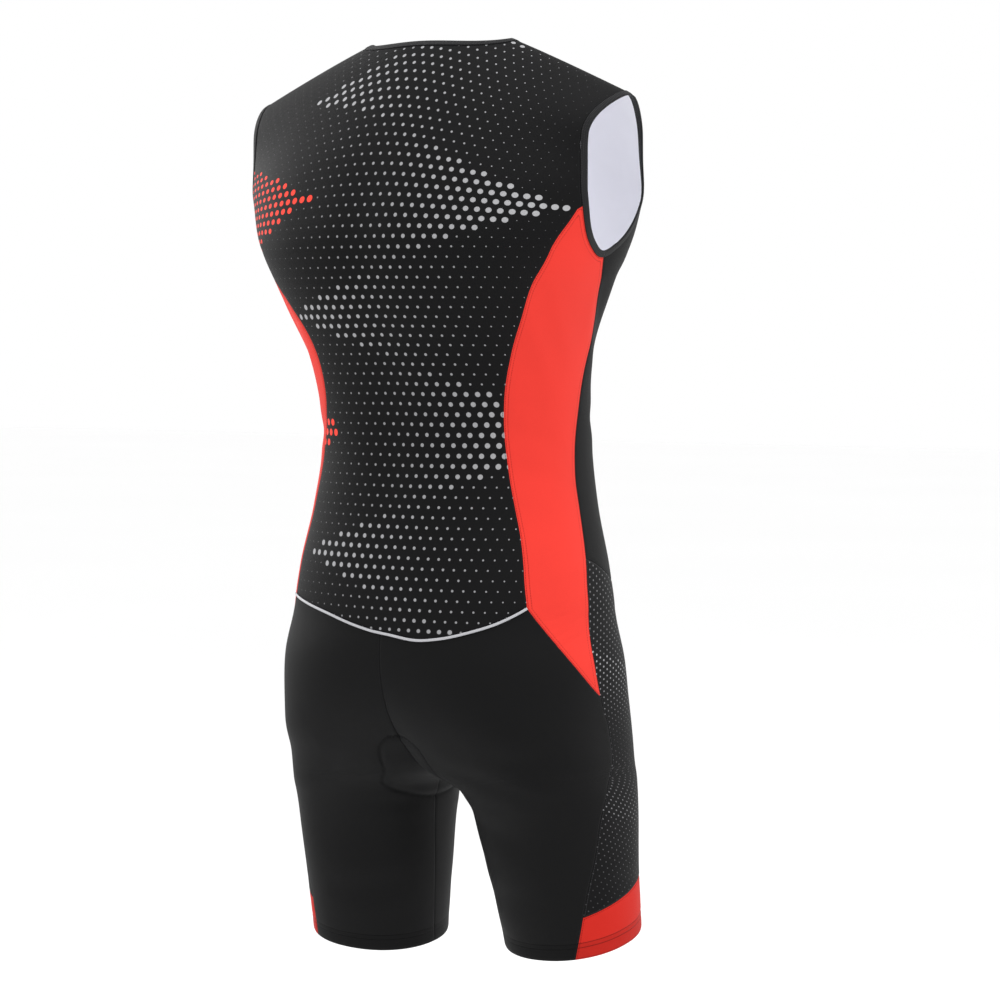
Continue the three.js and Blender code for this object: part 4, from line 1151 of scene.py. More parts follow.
@dataclass(frozen=True)
class FleeceFinish:
    """Brushed fleece of the seat pad, with a stitched line round its edge."""

    name: str = "pad_fleece"
    colour: tuple[float, float, float, float] = rgba(0.045, 0.046, 0.052)
    thread: tuple[float, float, float, float] = rgba(0.16, 0.16, 0.17)
    base_roughness: float = 0.88
    stitch: float = 2.6
    stitch_line: float = 3
    groove: float = 0.0006

    def material(self) -> bpy.types.Material:
        """Builds the fleece's node tree."""
        graph = Graph(self.name)
        edge, along = graph.uv("Seam")
        fibre = graph.noise(1500, 3)
        cloud = graph.noise(40, 3)
        near = abs(edge - self.stitch_line).below(0.4, 0.3)
        dash = along.repeat(self.stitch).below(0.36, 0.12)
        colour = graph.shaded(self.colour, 0.75 + fibre * 0.35 + cloud * 0.2)
        colour = graph.mix(near * dash, colour, self.thread)
        height = fibre * 0.6 + cloud * 0.3 - near * 0.5 + near * dash * 0.5
        graph.finish(colour, self.base_roughness + fibre * 0.08, height, self.groove, Sheen_Weight=0.35)
        return graph.material


@dataclass(frozen=True)
class HardFinish:
    """Moulded nylon or enamelled metal, with a fine grain in its roughness and its bumps."""

    name: str
    colour: tuple[float, float, float, float]
    base_roughness: float
    metallic: float
    grain: float = 900
    groove: float = 0.00006

    def material(self) -> bpy.types.Material:
        """Builds the hard finish's node tree."""
        graph = Graph(self.name)
        grain = graph.noise(self.grain, 2)
        cloud = graph.noise(120, 2)
        colour = graph.shaded(self.colour, 0.8 + cloud * 0.4)
        roughness = self.base_roughness + (grain - 0.5) * 0.2
        graph.finish(colour, roughness, grain, self.groove, Metallic=self.metallic)
        return graph.material


BLACK_KNIT = KnitFinish("black_knit", rgba(0.0042, 0.0042, 0.0044), rgba(0.011, 0.011, 0.012))
PRINTED_KNIT = KnitFinish(
    "printed_knit", rgba(0.0042, 0.0042, 0.0045), rgba(0.012, 0.012, 0.013), Print.HALFTONE
)
DOTTED_KNIT = KnitFinish(
    "dotted_knit", rgba(0.004, 0.004, 0.0043), rgba(0.03, 0.03, 0.032), Print.FINE_DOTS
)
RED_KNIT = KnitFinish(
    "red_knit", rgba(0.6, 0.034, 0.024), rgba(0.24, 0.008, 0.006), stitch_lines=(1.3, 4.6)
)
CUFF_KNIT = KnitFinish("deep_red_knit", rgba(0.44, 0.016, 0.01), rgba(0.2, 0.006, 0.005))
WHITE_LINING = LiningFinish("pale_inside", rgba(0.8, 0.8, 0.86))
BLACK_LINING = LiningFinish("black_inside", rgba(0.01, 0.01, 0.011))
BINDING = BandFinish("elastic_binding", rgba(0.011, 0.011, 0.012), specular=0.12)
ZIP_TAPE = BandFinish("woven_zip_tape", rgba(0.009, 0.009, 0.01), rib=0.9, row=1.1)
PIPING = PipingFinish()
FLEECE = FleeceFinish()
COIL = HardFinish("nylon_coil", rgba(0.014, 0.014, 0.015), 0.36, 0.0)
ENAMEL = HardFinish("black_enamel", rgba(0.022, 0.022, 0.024), 0.28, 0.6)


class Finishes:
    """Materials of the suit, each made once when first asked for."""

    def __init__(self) -> None:
        """Starts with no material made."""
        self.made: dict[str, bpy.types.Material] = {}

    def get(self, finish: object) -> bpy.types.Material:
        """The material of a finish."""
        if finish.name not in self.made:
            self.made[finish.name] = finish.material()
        return self.made[finish.name]


FINISHES = Finishes()


def deselect_all() -> None:
    """Leaves nothing selected, in object mode."""
    if bpy.context.object and bpy.context.object.mode != "OBJECT":
        bpy.ops.object.mode_set(mode="OBJECT")
    bpy.ops.object.select_all(action="DESELECT")


def grid_quads(columns: int, rows: int, closed: bool) -> Grid:
    """Faces of a grid of points, numbered column by column."""
    last = columns if closed else columns - 1
    i, j = (a.ravel() for a in np.meshgrid(np.arange(last), np.arange(rows - 1), indexing="ij"))
    here = i * rows + j
    there = ((i + 1) % columns) * rows + j
    return np.stack([here, there, there + 1, here + 1], -1)


def rim_quads(columns: int, rows: int, closed: bool) -> Grid:
    """Faces round the edge of a wall, between its outer and inner grids."""
    numbers = np.arange(columns * rows).reshape(columns, rows)
    lines = [numbers[:, 0], numbers[::-1, -1]]
    if closed:
        lines = [np.append(line, line[0]) for line in lines]
    else:
        lines += [numbers[::-1, :][-1, ::-1], numbers[-1, :]]
    inner = columns * rows
    return np.concatenate([np.stack([s[:-1], s[:-1] + inner, s[1:] + inner, s[1:]], -1) for s in lines])


@dataclass
class Wall:
    """A closed wall of cloth between an outer and an inner grid of points, in millimetres."""

    name: str
    outer: Grid
    inner: Grid
    maps: dict[str, Grid]
    outside: object
    inside: object
    closed: bool = False
    sharp_degrees: float = 60

    def build(self) -> bpy.types.Object:
        """Makes the mesh, its maps and its two finishes.

        Returns:
            The new object, at the origin.
        """
        columns, rows = self.outer.shape[:2]
        face = grid_quads(columns, rows, self.closed)
        back = face[:, ::-1] + columns * rows
        rim = rim_quads(columns, rows, self.closed)
        quads = np.concatenate([face, back, rim])
        points = np.concatenate([self.outer.reshape(-1, 3), self.inner.reshape(-1, 3)]) * MM
        a, b, c, d = (points[quads[:, k]] for k in range(4))
        volume = (a * np.cross(b, c)).sum() + (a * np.cross(c, d)).sum()
        if volume < 0:
            quads = quads[:, ::-1]
        mesh = bpy.data.meshes.new(self.name)
        mesh.from_pydata(points.tolist(), [], quads.tolist())
        corners = quads.ravel() % (columns * rows)
        for name, values in self.maps.items():
            layer = mesh.uv_layers.new(name=name)
            layer.data.foreach_set("uv", values.reshape(-1, 2)[corners].ravel())
        mesh.materials.append(FINISHES.get(self.outside))
        mesh.materials.append(FINISHES.get(self.inside))
        slots = np.zeros(len(quads), np.int32)
        slots[len(face) : 2 * len(face)] = 1
        mesh.polygons.foreach_set("material_index", slots)
        mesh.polygons.foreach_set("use_smooth", np.ones(len(quads), bool))
        mesh.set_sharp_from_angle(angle=math.radians(self.sharp_degrees))
        mesh.validate()
        made = bpy.data.objects.new(self.name, mesh)
        bpy.context.scene.collection.objects.link(made)
        return made


def seam_map(points: Grid) -> Grid:
    """Distance from the nearest edge of a grid and length along that edge, in millimetres."""
    round_lengths = lengths_along(points)
    up_lengths = lengths_along(points.transpose(1, 0, 2)).T
    distances = np.stack(
        [round_lengths, round_lengths[-1] - round_lengths, up_lengths, up_lengths[:, -1:] - up_lengths]
    )
    nearest = distances.argmin(0)
    along = np.where(nearest < 2, up_lengths, round_lengths)
    return np.stack([distances.min(0), along], -1)


def place(piece: bpy.types.Object, node: str, slot: str, body: str = BODY) -> None:
    """Rides a piece on its body and hides the node it stands for."""
    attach(piece, body)
    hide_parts(node)
    LOG.info("%s: %d faces", piece.name, len(piece.data.polygons))


@dataclass
class Panel:
    """One knit panel of the suit."""

    node: str
    slot: str
    boundaries: Callable[[], tuple[Grid, Grid, Grid, Grid]]
    finish: KnitFinish
    lining: LiningFinish
    side: Side | None = None
    hemmed: bool = False
    over_pad: bool = False
    wall: float = 1.3
    edge_dip: float = 0.5
    edge_dip_width: float = 1.1
    hem_groove: float = 0.35
    far: float = 900
    stretch: float = 1.05
    creases: Creases = Creases()
    pad: PadOutline = PadOutline()

    def build(self) -> bpy.types.Object:
        """Builds the panel and logs the size of its cut.

        Returns:
            The panel's object.
        """
        places = CUT.patch(*self.boundaries())
        if self.over_pad:
            places = self.relaxed(places)
        form = FORM.point(places)
        normals = FORM.normal(places)
        seams = seam_map(form)
        relief = self.creases.relief(form, places[..., 1])
        relief -= self.edge_dip * np.exp(-((seams[..., 0] / self.edge_dip_width) ** 2))
        trim = np.full(form.shape[:2] + (2,), self.far, float)
        pad = np.full(form.shape[:2] + (2,), self.far, float)
        if self.hemmed:
            trim[..., 0] = lengths_along(form.transpose(1, 0, 2)).T
            for line in self.finish.hem_lines:
                relief -= self.hem_groove * np.exp(-(((trim[..., 0] - line) / 1.4) ** 2))
        if self.over_pad:
            pad = self.pad.measure(self.side, places, form)
            relief += self.pad.relief(pad[..., 0])
        outer = form + normals * relief[..., None]
        maps = {"Cloth": FORM.cloth_map(places), "Seam": seams * MM, "Trim": trim * MM, "Pad": pad * MM}
        piece = Wall(
            f"{self.node}_cloth", outer, outer - normals * self.wall, maps, self.finish, self.lining
        ).build()
        place(piece, self.node, self.slot)
        self.declare(piece, outer)
        return piece

    def relaxed(self, places: Grid) -> Grid:
        """Evens the grid out where it crosses the height of the crotch."""
        side = np.where(places[..., 0] < 0, -1, 1)
        chart = np.stack([FORM.angle_of(places), places[..., 1]], -1)
        inner = slice(3, -3)
        passes = 60
        reach = 9
        for _ in range(passes):
            beside = chart[2:-4, inner] + chart[4:-2, inner]
            around = (beside + chart[inner, 2:-4] + chart[inner, 4:-2]) / 4
            share = np.exp(-(((chart[inner, inner, 1:] - CUT.crotch_z) / reach) ** 2))
            chart[inner, inner] += (around - chart[inner, inner]) * share
        return np.stack([side * FORM.share(chart[..., 0], chart[..., 1]), chart[..., 1]], -1)

    def declare(self, piece: bpy.types.Object, outer: Grid) -> None:
        width = lengths_along(outer)[-1].max() * MM / self.stretch
        length = lengths_along(outer.transpose(1, 0, 2))[-1].max() * MM / self.stretch
        across = np.diff(outer, axis=0)[:, :-1]
        up = np.diff(outer, axis=1)[:-1]
        area = np.linalg.norm(np.cross(across, up), axis=-1).sum() * MM**2 / self.stretch**2
        share = min(max(area / (width * length), 0.31), 1.0)
        share * width * length
        LOG.info("%s: cut %.3f by %.3f m, %.4f m2", piece.name, width, length, area)


@dataclass
class PanelSet:
    """The thirteen knit panels and their boundary curves."""

    back_counts: tuple[int, int] = (14, 11)

    def back(self) -> tuple[Grid, Grid, Grid, Grid]:
        """Boundaries of the one-piece upper back."""
        edges = {}
        bottoms = {}
        for side in Side:
            z, angle = CUT.meeting(side, CUT.side_back, CUT.piping)
            seam = CUT.seam(side, CUT.side_back, z, CUT.armhole_corner_z, self.back_counts[0])
            edges[side] = np.concatenate([seam[:-1], CUT.armhole_back(side)])
            bottoms[side] = CUT.round_seam(CUT.piping, side, CUT.steps(0, angle, self.back_counts[1]))
        tops = {s: np.concatenate([CUT.neckline(s, "back"), CUT.shoulder(s, "back")[1:]]) for s in Side}
        return (
            edges[Side.RIGHT],
            edges[Side.LEFT],
            np.concatenate([tops[Side.RIGHT][:0:-1], tops[Side.LEFT]]),
            np.concatenate([bottoms[Side.RIGHT][:0:-1], bottoms[Side.LEFT]]),
        )

    def front(self, side: Side) -> tuple[Grid, Grid, Grid, Grid]:
        """Boundaries of an upper front."""
        foot_z, foot_angle = CUT.meeting(side, CUT.side_front, CUT.waist_front)
        seam = CUT.seam(side, CUT.side_front, foot_z, CUT.armhole_bottom_z, 12)
        top = np.concatenate([CUT.neckline(side, "front"), CUT.shoulder(side, "front")[1:]])
        waist_z = float(CUT.round_seam(CUT.waist_front, side, np.array([180.0]))[0, 1])
        low = CUT.steps(waist_z, CUT.armhole_bottom_z, 12)[:-1]
        high = CUT.steps(CUT.armhole_bottom_z, top[0, 1], 11)
        centre = CUT.zip_edge(side, np.concatenate([low, high]))
        centre[-1] = top[0]
        bottom = CUT.round_seam(CUT.waist_front, side, CUT.steps(180, foot_angle, 15))
        right = np.concatenate([seam[:-1], CUT.armhole_front(side)])
        return centre, right, top, bottom

    def side_lower_edge(self, side: Side, bluntness: float) -> Grid:
        """Lower edge of the side panel, from its tip on the hip up to the piping's end."""
        corner_z, corner_angle = CUT.meeting(side, CUT.side_back, CUT.piping)
        tip = float(CUT.seam_angle(side, CUT.leg_back, np.array([CUT.side_tip_z]))[0])
        t = CUT.steps(bluntness, 1, 6)
        z = CUT.side_tip_z + (corner_z - CUT.side_tip_z) * t
        bow = 1.5 * np.sin(np.pi * t)
        return np.stack([side.value * FORM.share(tip + (corner_angle - tip) * t - bow, z), z], -1)

    def side_panel(self, side: Side) -> tuple[Grid, Grid, Grid, Grid]:
        """Boundaries of a red side panel."""
        lower = self.side_lower_edge(side, CUT.side_tip_bluntness)
        back = CUT.seam(side, CUT.side_back, float(lower[-1, 1]), CUT.armhole_corner_z, 14)
        left = np.concatenate([lower, back[1:]])
        left[-1] = CUT.armhole_back(side)[0]
        waist_z, _ = CUT.meeting(side, CUT.side_front, CUT.waist_front)
        low = CUT.seam(side, CUT.side_front, float(left[0, 1]), waist_z, 8)
        high = CUT.seam(side, CUT.side_front, waist_z, CUT.armhole_bottom_z, 12)
        right = np.concatenate([low, high[1:]])
        bottom = left[0] + (right[0] - left[0]) * CUT.steps(0, 1, 4)[:, None]
        return left, right, CUT.armhole_under(side), bottom

    def shorts_back(self, side: Side) -> tuple[Grid, Grid, Grid, Grid]:
        """Boundaries of the back of the shorts on one side."""
        _, corner_angle = CUT.meeting(side, CUT.side_back, CUT.piping)
        piping = CUT.round_seam(CUT.piping, side, CUT.steps(0, corner_angle, 11))
        top = np.concatenate([piping, self.side_lower_edge(side, 0)[::-1][1:]])
        end_z, end_angle = CUT.hem_meeting(side, CUT.leg_back)
        left = CUT.centre_line(side, FORM.centre_share, -90, float(top[0, 1]))
        cuff_z, _ = CUT.meeting(side, CUT.leg_back, CUT.cuff)
        low = CUT.seam(side, CUT.leg_back, end_z, cuff_z, 3)
        high = CUT.seam(side, CUT.leg_back, cuff_z, CUT.side_tip_z, 16)
        right = np.concatenate([low, high[1:]])
        bottom = CUT.hem(side, CUT.steps(-90, end_angle, 17))
        left[0] = bottom[0]
        right[-1] = top[-1]
        return left, right, top, bottom

    def shorts_front(self, side: Side) -> tuple[Grid, Grid, Grid, Grid]:
        """Boundaries of the front of the shorts on one side."""
        waist_z, waist_angle = CUT.meeting(side, CUT.leg_front, CUT.waist_front)
        top = CUT.round_seam(CUT.waist_front, side, CUT.steps(180, waist_angle, 12))
        end_z, end_angle = CUT.hem_meeting(side, CUT.leg_front)
        left = CUT.centre_line(side, 1, 270, float(top[0, 1]))
        right = CUT.seam(side, CUT.leg_front, end_z, waist_z, 19)
        bottom = CUT.hem(side, CUT.steps(270, end_angle, 12))
        left[-1] = top[0]
        left[0] = bottom[0]
        return left, right, top, bottom

    def cuff_edge(self, side: Side) -> tuple[float, float, Grid]:
        """Upper edge of the red cuff, with the heights of its two ends."""
        start_z, start_angle = CUT.meeting(side, CUT.leg_back, CUT.cuff)
        end_z, end_angle = CUT.meeting(side, CUT.leg_front, CUT.cuff)
        return start_z, end_z, CUT.round_seam(CUT.cuff, side, CUT.steps(start_angle, end_angle, 6))

    def leg_side(self, side: Side) -> tuple[Grid, Grid, Grid, Grid]:
        """Boundaries of the outer leg panel."""
        start_z, end_z, edge = self.cuff_edge(side)
        back_z, back_angle = CUT.meeting(side, CUT.side_front, CUT.waist_front)
        front_z, front_angle = CUT.meeting(side, CUT.leg_front, CUT.waist_front)
        low = CUT.seam(side, CUT.leg_back, start_z, CUT.side_tip_z, 16)
        high = CUT.seam(side, CUT.side_front, CUT.side_tip_z, back_z, 8)
        left = np.concatenate([low, high[1:]])
        right = CUT.seam(side, CUT.leg_front, end_z, front_z, 24)
        top = CUT.round_seam(CUT.waist_front, side, CUT.steps(back_angle, front_angle, 6))
        return left, right, top, edge

    def cuff(self, side: Side) -> tuple[Grid, Grid, Grid, Grid]:
        """Boundaries of the red cuff."""
        start_z, end_z, edge = self.cuff_edge(side)
        hem_start_z, hem_start = CUT.hem_meeting(side, CUT.leg_back)
        hem_end_z, hem_end = CUT.hem_meeting(side, CUT.leg_front)
        left = CUT.seam(side, CUT.leg_back, hem_start_z, start_z, 3)
        right = CUT.seam(side, CUT.leg_front, hem_end_z, end_z, 3)
        return left, right, edge, CUT.hem(side, CUT.steps(hem_start, hem_end, 6))

    def build(self) -> None:
        """Builds every panel."""
        Panel("back_panel", "printed_knit", self.back, PRINTED_KNIT, WHITE_LINING).build()
        pairs = (
            ("front_panel", "black_knit", self.front, BLACK_KNIT, WHITE_LINING, False, False),
            ("side_panel", "red_knit", self.side_panel, RED_KNIT, WHITE_LINING, False, False),
            ("shorts_back", "black_knit", self.shorts_back, BLACK_KNIT, BLACK_LINING, True, True),
            ("shorts_front", "black_knit", self.shorts_front, BLACK_KNIT, BLACK_LINING, True, True),
            ("leg_side", "printed_knit", self.leg_side, DOTTED_KNIT, BLACK_LINING, False, False),
            ("cuff", "red_knit", self.cuff, CUFF_KNIT, WHITE_LINING, True, False),
        )
        for side in Side:
            for name, slot, curves, finish, lining, hemmed, over_pad in pairs:
                node = f"{name}_{side.word}"
                bounds = partial(curves, side)
                Panel(node, slot, bounds, finish, lining, side, hemmed, over_pad).build()


@dataclass
class Band:
    """A soft band with a rounded section, swept along places on the cloth."""

    name: str
    node: str
    slot: str
    finish: object
    places: Grid
    profile: Sequence[tuple[float, float]]
    hole_centre: tuple[float, float, float] | None = None
    closed: bool = False

    def frames(self) -> tuple[Grid, Grid, Grid]:
        """Points along the band, the directions across it and its outward normals."""
        points = FORM.point(self.places)
        normals = FORM.normal(self.places)
        rolled = [np.roll(normals, k, axis=0) for k in (-2, -1, 1, 2)]
        if not self.closed:
            for k, copy in zip((-2, -1, 1, 2), rolled):
                copy[-2:] = normals[-2:]
                copy[:2] = normals[:2]
        normals = unit(normals + sum(rolled))
        before = np.roll(points, 1, axis=0)
        after = np.roll(points, -1, axis=0)
        if not self.closed:
            before[0] = points[0]
            after[-1] = points[-1]
        along = unit(after - before)
        across = unit(np.cross(along, normals))
        if self.hole_centre is not None:
            turned = ((np.array(self.hole_centre) - points) * across).sum(-1) < 0
            across[turned] *= -1
        return points, across, normals

    def build(self) -> bpy.types.Object:
        """Sweeps the section, given as distances across and out, and closes the ends.

        Returns:
            The band's object.
        """
        points, across, normals = self.frames()
        section = np.array(self.profile, float)
        ring = points[:, None] + across[:, None] * section[None, :, :1]
        ring = ring + normals[:, None] * section[None, :, 1:]
        marks = lengths_along(points)
        walk = lengths_along(np.concatenate([section, section[:1]]))
        count, sides = ring.shape[:2]
        stations = count + 1 if self.closed else count
        quads = grid_quads(sides + 1, stations, False)
        i = quads // stations
        j = quads % stations
        faces = (j % count) * sides + (i % sides)
        last = (count - 1) * sides
        ends = [] if self.closed else [list(range(sides))[::-1], list(range(last, last + sides))]
        mesh = bpy.data.meshes.new(self.name)
        mesh.from_pydata((ring.reshape(-1, 3) * MM).tolist(), [], faces.tolist() + ends)
        lengths = np.append(marks, marks[-1] * count / (count - 1))
        uv = np.stack([lengths[j], walk[i]], -1).reshape(-1, 2)
        tail = np.zeros((sum(len(end) for end in ends), 2))
        layer = mesh.uv_layers.new(name="Cloth")
        layer.data.foreach_set("uv", (np.concatenate([uv, tail]) * MM).ravel())
        mesh.materials.append(FINISHES.get(self.finish))
        mesh.polygons.foreach_set("use_smooth", np.ones(len(mesh.polygons), bool))
        mesh.set_sharp_from_angle(angle=math.radians(50))
        made = bpy.data.objects.new(self.name, mesh)
        bpy.context.scene.collection.objects.link(made)
        outward_faces(made)
        place(made, self.node, self.slot)
        return made


def outward_faces(piece: bpy.types.Object) -> None:
    """Turns every face of a closed piece outwards."""
    deselect_all()
    piece.select_set(True)
    bpy.context.view_layer.objects.active = piece
    bpy.ops.object.mode_set(mode="EDIT")
    bpy.ops.mesh.select_all(action="SELECT")
    bpy.ops.mesh.normals_make_consistent(inside=False)
    bpy.ops.object.mode_set(mode="OBJECT")
    piece.select_set(False)


def folded_section(
    start: float, width: float, top: float, thick: float, layer: float
) -> list[tuple[float, float]]:
    """Section of a tape folded in two, with its fold at the far edge and a slit between the layers."""
    radius = thick / 2
    fold = start + width - radius
    steps = 8
    shoulder = 0.25
    crown_rise = 0.1

    def arc(reach: float) -> list[tuple[float, float]]:
        """Half circle round the middle of the fold, from the top down."""
        bearings = [math.radians(90 - 180 * k / steps) for k in range(steps + 1)]
        return [(fold + reach * math.cos(b), top - radius + reach * math.sin(b)) for b in bearings]

    crown = [(start + width * share, top + crown_rise) for share in (0.25, 0.5)]
    return [
        (start, top - shoulder), (start + shoulder, top), *crown, *arc(radius), (start, top - thick),
        (start, top - thick + layer), *arc(radius - layer)[::-1], (start, top - layer),
    ]


def rounded_section(
    start: float, width: float, top: float, thick: float, crown: float
) -> list[tuple[float, float]]:
    """Rounded section of a band: flat-sided, with round edges and a crowned outside."""
    radius = thick / 2
    arc = 6
    made = []
    for centre, first in ((start + width - radius, 90), (start + radius, 270)):
        for k in range(arc + 1):
            bearing = math.radians(first - 180 * k / arc)
            made.append((centre + radius * math.cos(bearing), top - radius + radius * math.sin(bearing)))
    return made + [(start + width * share, top + crown) for share in (0.35, 0.5, 0.65)]


@dataclass
class Trims:
    """Bindings of the neck and armholes, and the piping over the seat."""

    width: float = 6.5
    out: float = 0.45
    thick: float = 2.1
    layer: float = 0.85
    piping_width: float = 2.5
    piping_top: float = 1.35
    piping_thick: float = 1.25
    piping_stations: int = 26

    def section(self) -> list[tuple[float, float]]:
        """Section of a folded binding."""
        return folded_section(CUT.seam_gap / 2, self.width, self.out, self.thick, self.layer)

    def neck_places(self) -> Grid:
        """The neckline from one side of the zip round to the other."""
        halves = {}
        for side in Side:
            front = CUT.neckline(side, "front")
            halves[side] = np.concatenate([front, CUT.neckline(side, "back")[::-1][1:]])
        return np.concatenate([halves[Side.RIGHT], halves[Side.LEFT][::-1][1:]])

    def armhole_places(self, side: Side) -> Grid:
        """The whole edge of an armhole."""
        return np.concatenate(
            [
                CUT.armhole_back(side)[::-1][:-1],
                CUT.armhole_under(side)[:-1],
                CUT.armhole_front(side)[:-1],
            ]
        )

    def piping_places(self) -> Grid:
        """The seam between the back and the shorts, from side panel to side panel."""
        halves = {}
        for side in Side:
            _, angle = CUT.meeting(side, CUT.side_back, CUT.piping)
            angles = CUT.steps(0, angle, self.piping_stations // 2)
            halves[side] = CUT.round_seam(CUT.piping, side, angles)
        return np.concatenate([halves[Side.RIGHT][:0:-1], halves[Side.LEFT]])

    def build(self) -> None:
        neck = Band(
            "neck_binding_band", "neck_binding", "binding_tape", BINDING, self.neck_places(),
            self.section(), (0, 0, 40),
        )
        self.declare(neck.build(), neck.places)
        for side in Side:
            node = f"armhole_binding_{side.word}"
            band = Band(
                f"{node}_band", node, "binding_tape", BINDING, self.armhole_places(side),
                self.section(), (side.value * 230, 0, -100), closed=True,
            )
            self.declare(band.build(), band.places)
        section = rounded_section(
            -self.piping_width / 2, self.piping_width, self.piping_top, self.piping_thick, 0.15
        )
        Band(
            "back_piping_cord", "back_piping", "reflective_piping", PIPING, self.piping_places(), section
        ).build()

    def declare(self, piece: bpy.types.Object, places: Grid) -> None:
        """Measures a binding's length along the cloth and twice its width."""
        length = float(lengths_along(FORM.point(places))[-1]) * MM
        2 * self.width * MM


@dataclass
class SeatPad:
    """Soft pad sewn inside the crotch, thicker in two long cushions."""

    outline: PadOutline = PadOutline()
    clear: float = 4
    thick: float = 6.5
    edge_thick: float = 3
    crease_clear: float = 7.5
    columns: int = 120
    rows: int = 30
    crown: float = 1.4
    channel: float = 1.2
    channel_width: float = 2.5

    def spine(self, t: Grid) -> tuple[Grid, Grid]:
        """Crease points of the cloth and the direction into the suit there."""
        def crease(at: Grid) -> Grid:
            """Points on the mid-plane."""
            route = self.outline.route(np.clip(at, 0, 1), np.zeros_like(at))
            points = FORM.at_angle(1, route[:, 0], route[:, 1])
            points[:, 0] = 0
            return points

        forward = crease(t + 0.01) - crease(t - 0.01)
        inwards = unit(np.stack([np.zeros_like(t), forward[:, 2], -forward[:, 1]], -1))
        return crease(t), inwards

    def layer(self, depth: float) -> Grid:
        """One face of the pad: 0 against the cloth and 1 against the wearer."""
        t = np.linspace(0, 1, self.columns + 1)
        points, inwards = self.spine(t)
        middle = points + inwards * (self.crease_clear + depth * self.thick)
        halves = {}
        for side in Side:
            shares = np.linspace(0, 1, self.rows + 1)[1:]
            t_grid, s_grid = np.meshgrid(t, shares, indexing="ij")
            route = self.outline.route(t_grid, s_grid)
            angle = np.where(route[..., 0] < -90, route[..., 0] + 360, route[..., 0])
            places = np.stack([side.value * FORM.share(angle, route[..., 1]), route[..., 1]], -1)
            taper = self.thick + (self.edge_thick - self.thick) * s_grid**3
            ends = np.sin(np.pi * t_grid)
            crown = self.crown * np.sin(np.pi * np.clip((s_grid - 0.12) / 0.7, 0, 1)) * ends
            channel = self.channel * np.exp(-(((s_grid - 0.12) * 60 / self.channel_width) ** 2))
            inner = (taper + crown - channel) * depth
            halves[side] = FORM.point(places) - FORM.normal(places) * (self.clear + inner)[..., None]
        joined = [halves[Side.RIGHT][:, ::-1], middle[:, None], halves[Side.LEFT]]
        return np.concatenate(joined, axis=1)

    def build(self) -> None:
        """Builds the pad as a padded piece."""
        outer = self.layer(0)
        inner = self.layer(1)
        flat = seam_map(outer)
        maps = {"Cloth": np.stack([flat[..., 1], flat[..., 0]], -1) * MM, "Seam": flat * MM}
        piece = Wall("seat_pad_fleece", outer, inner, maps, FLEECE, FLEECE).build()
        place(piece, "chamois_pad", "pad_fleece")


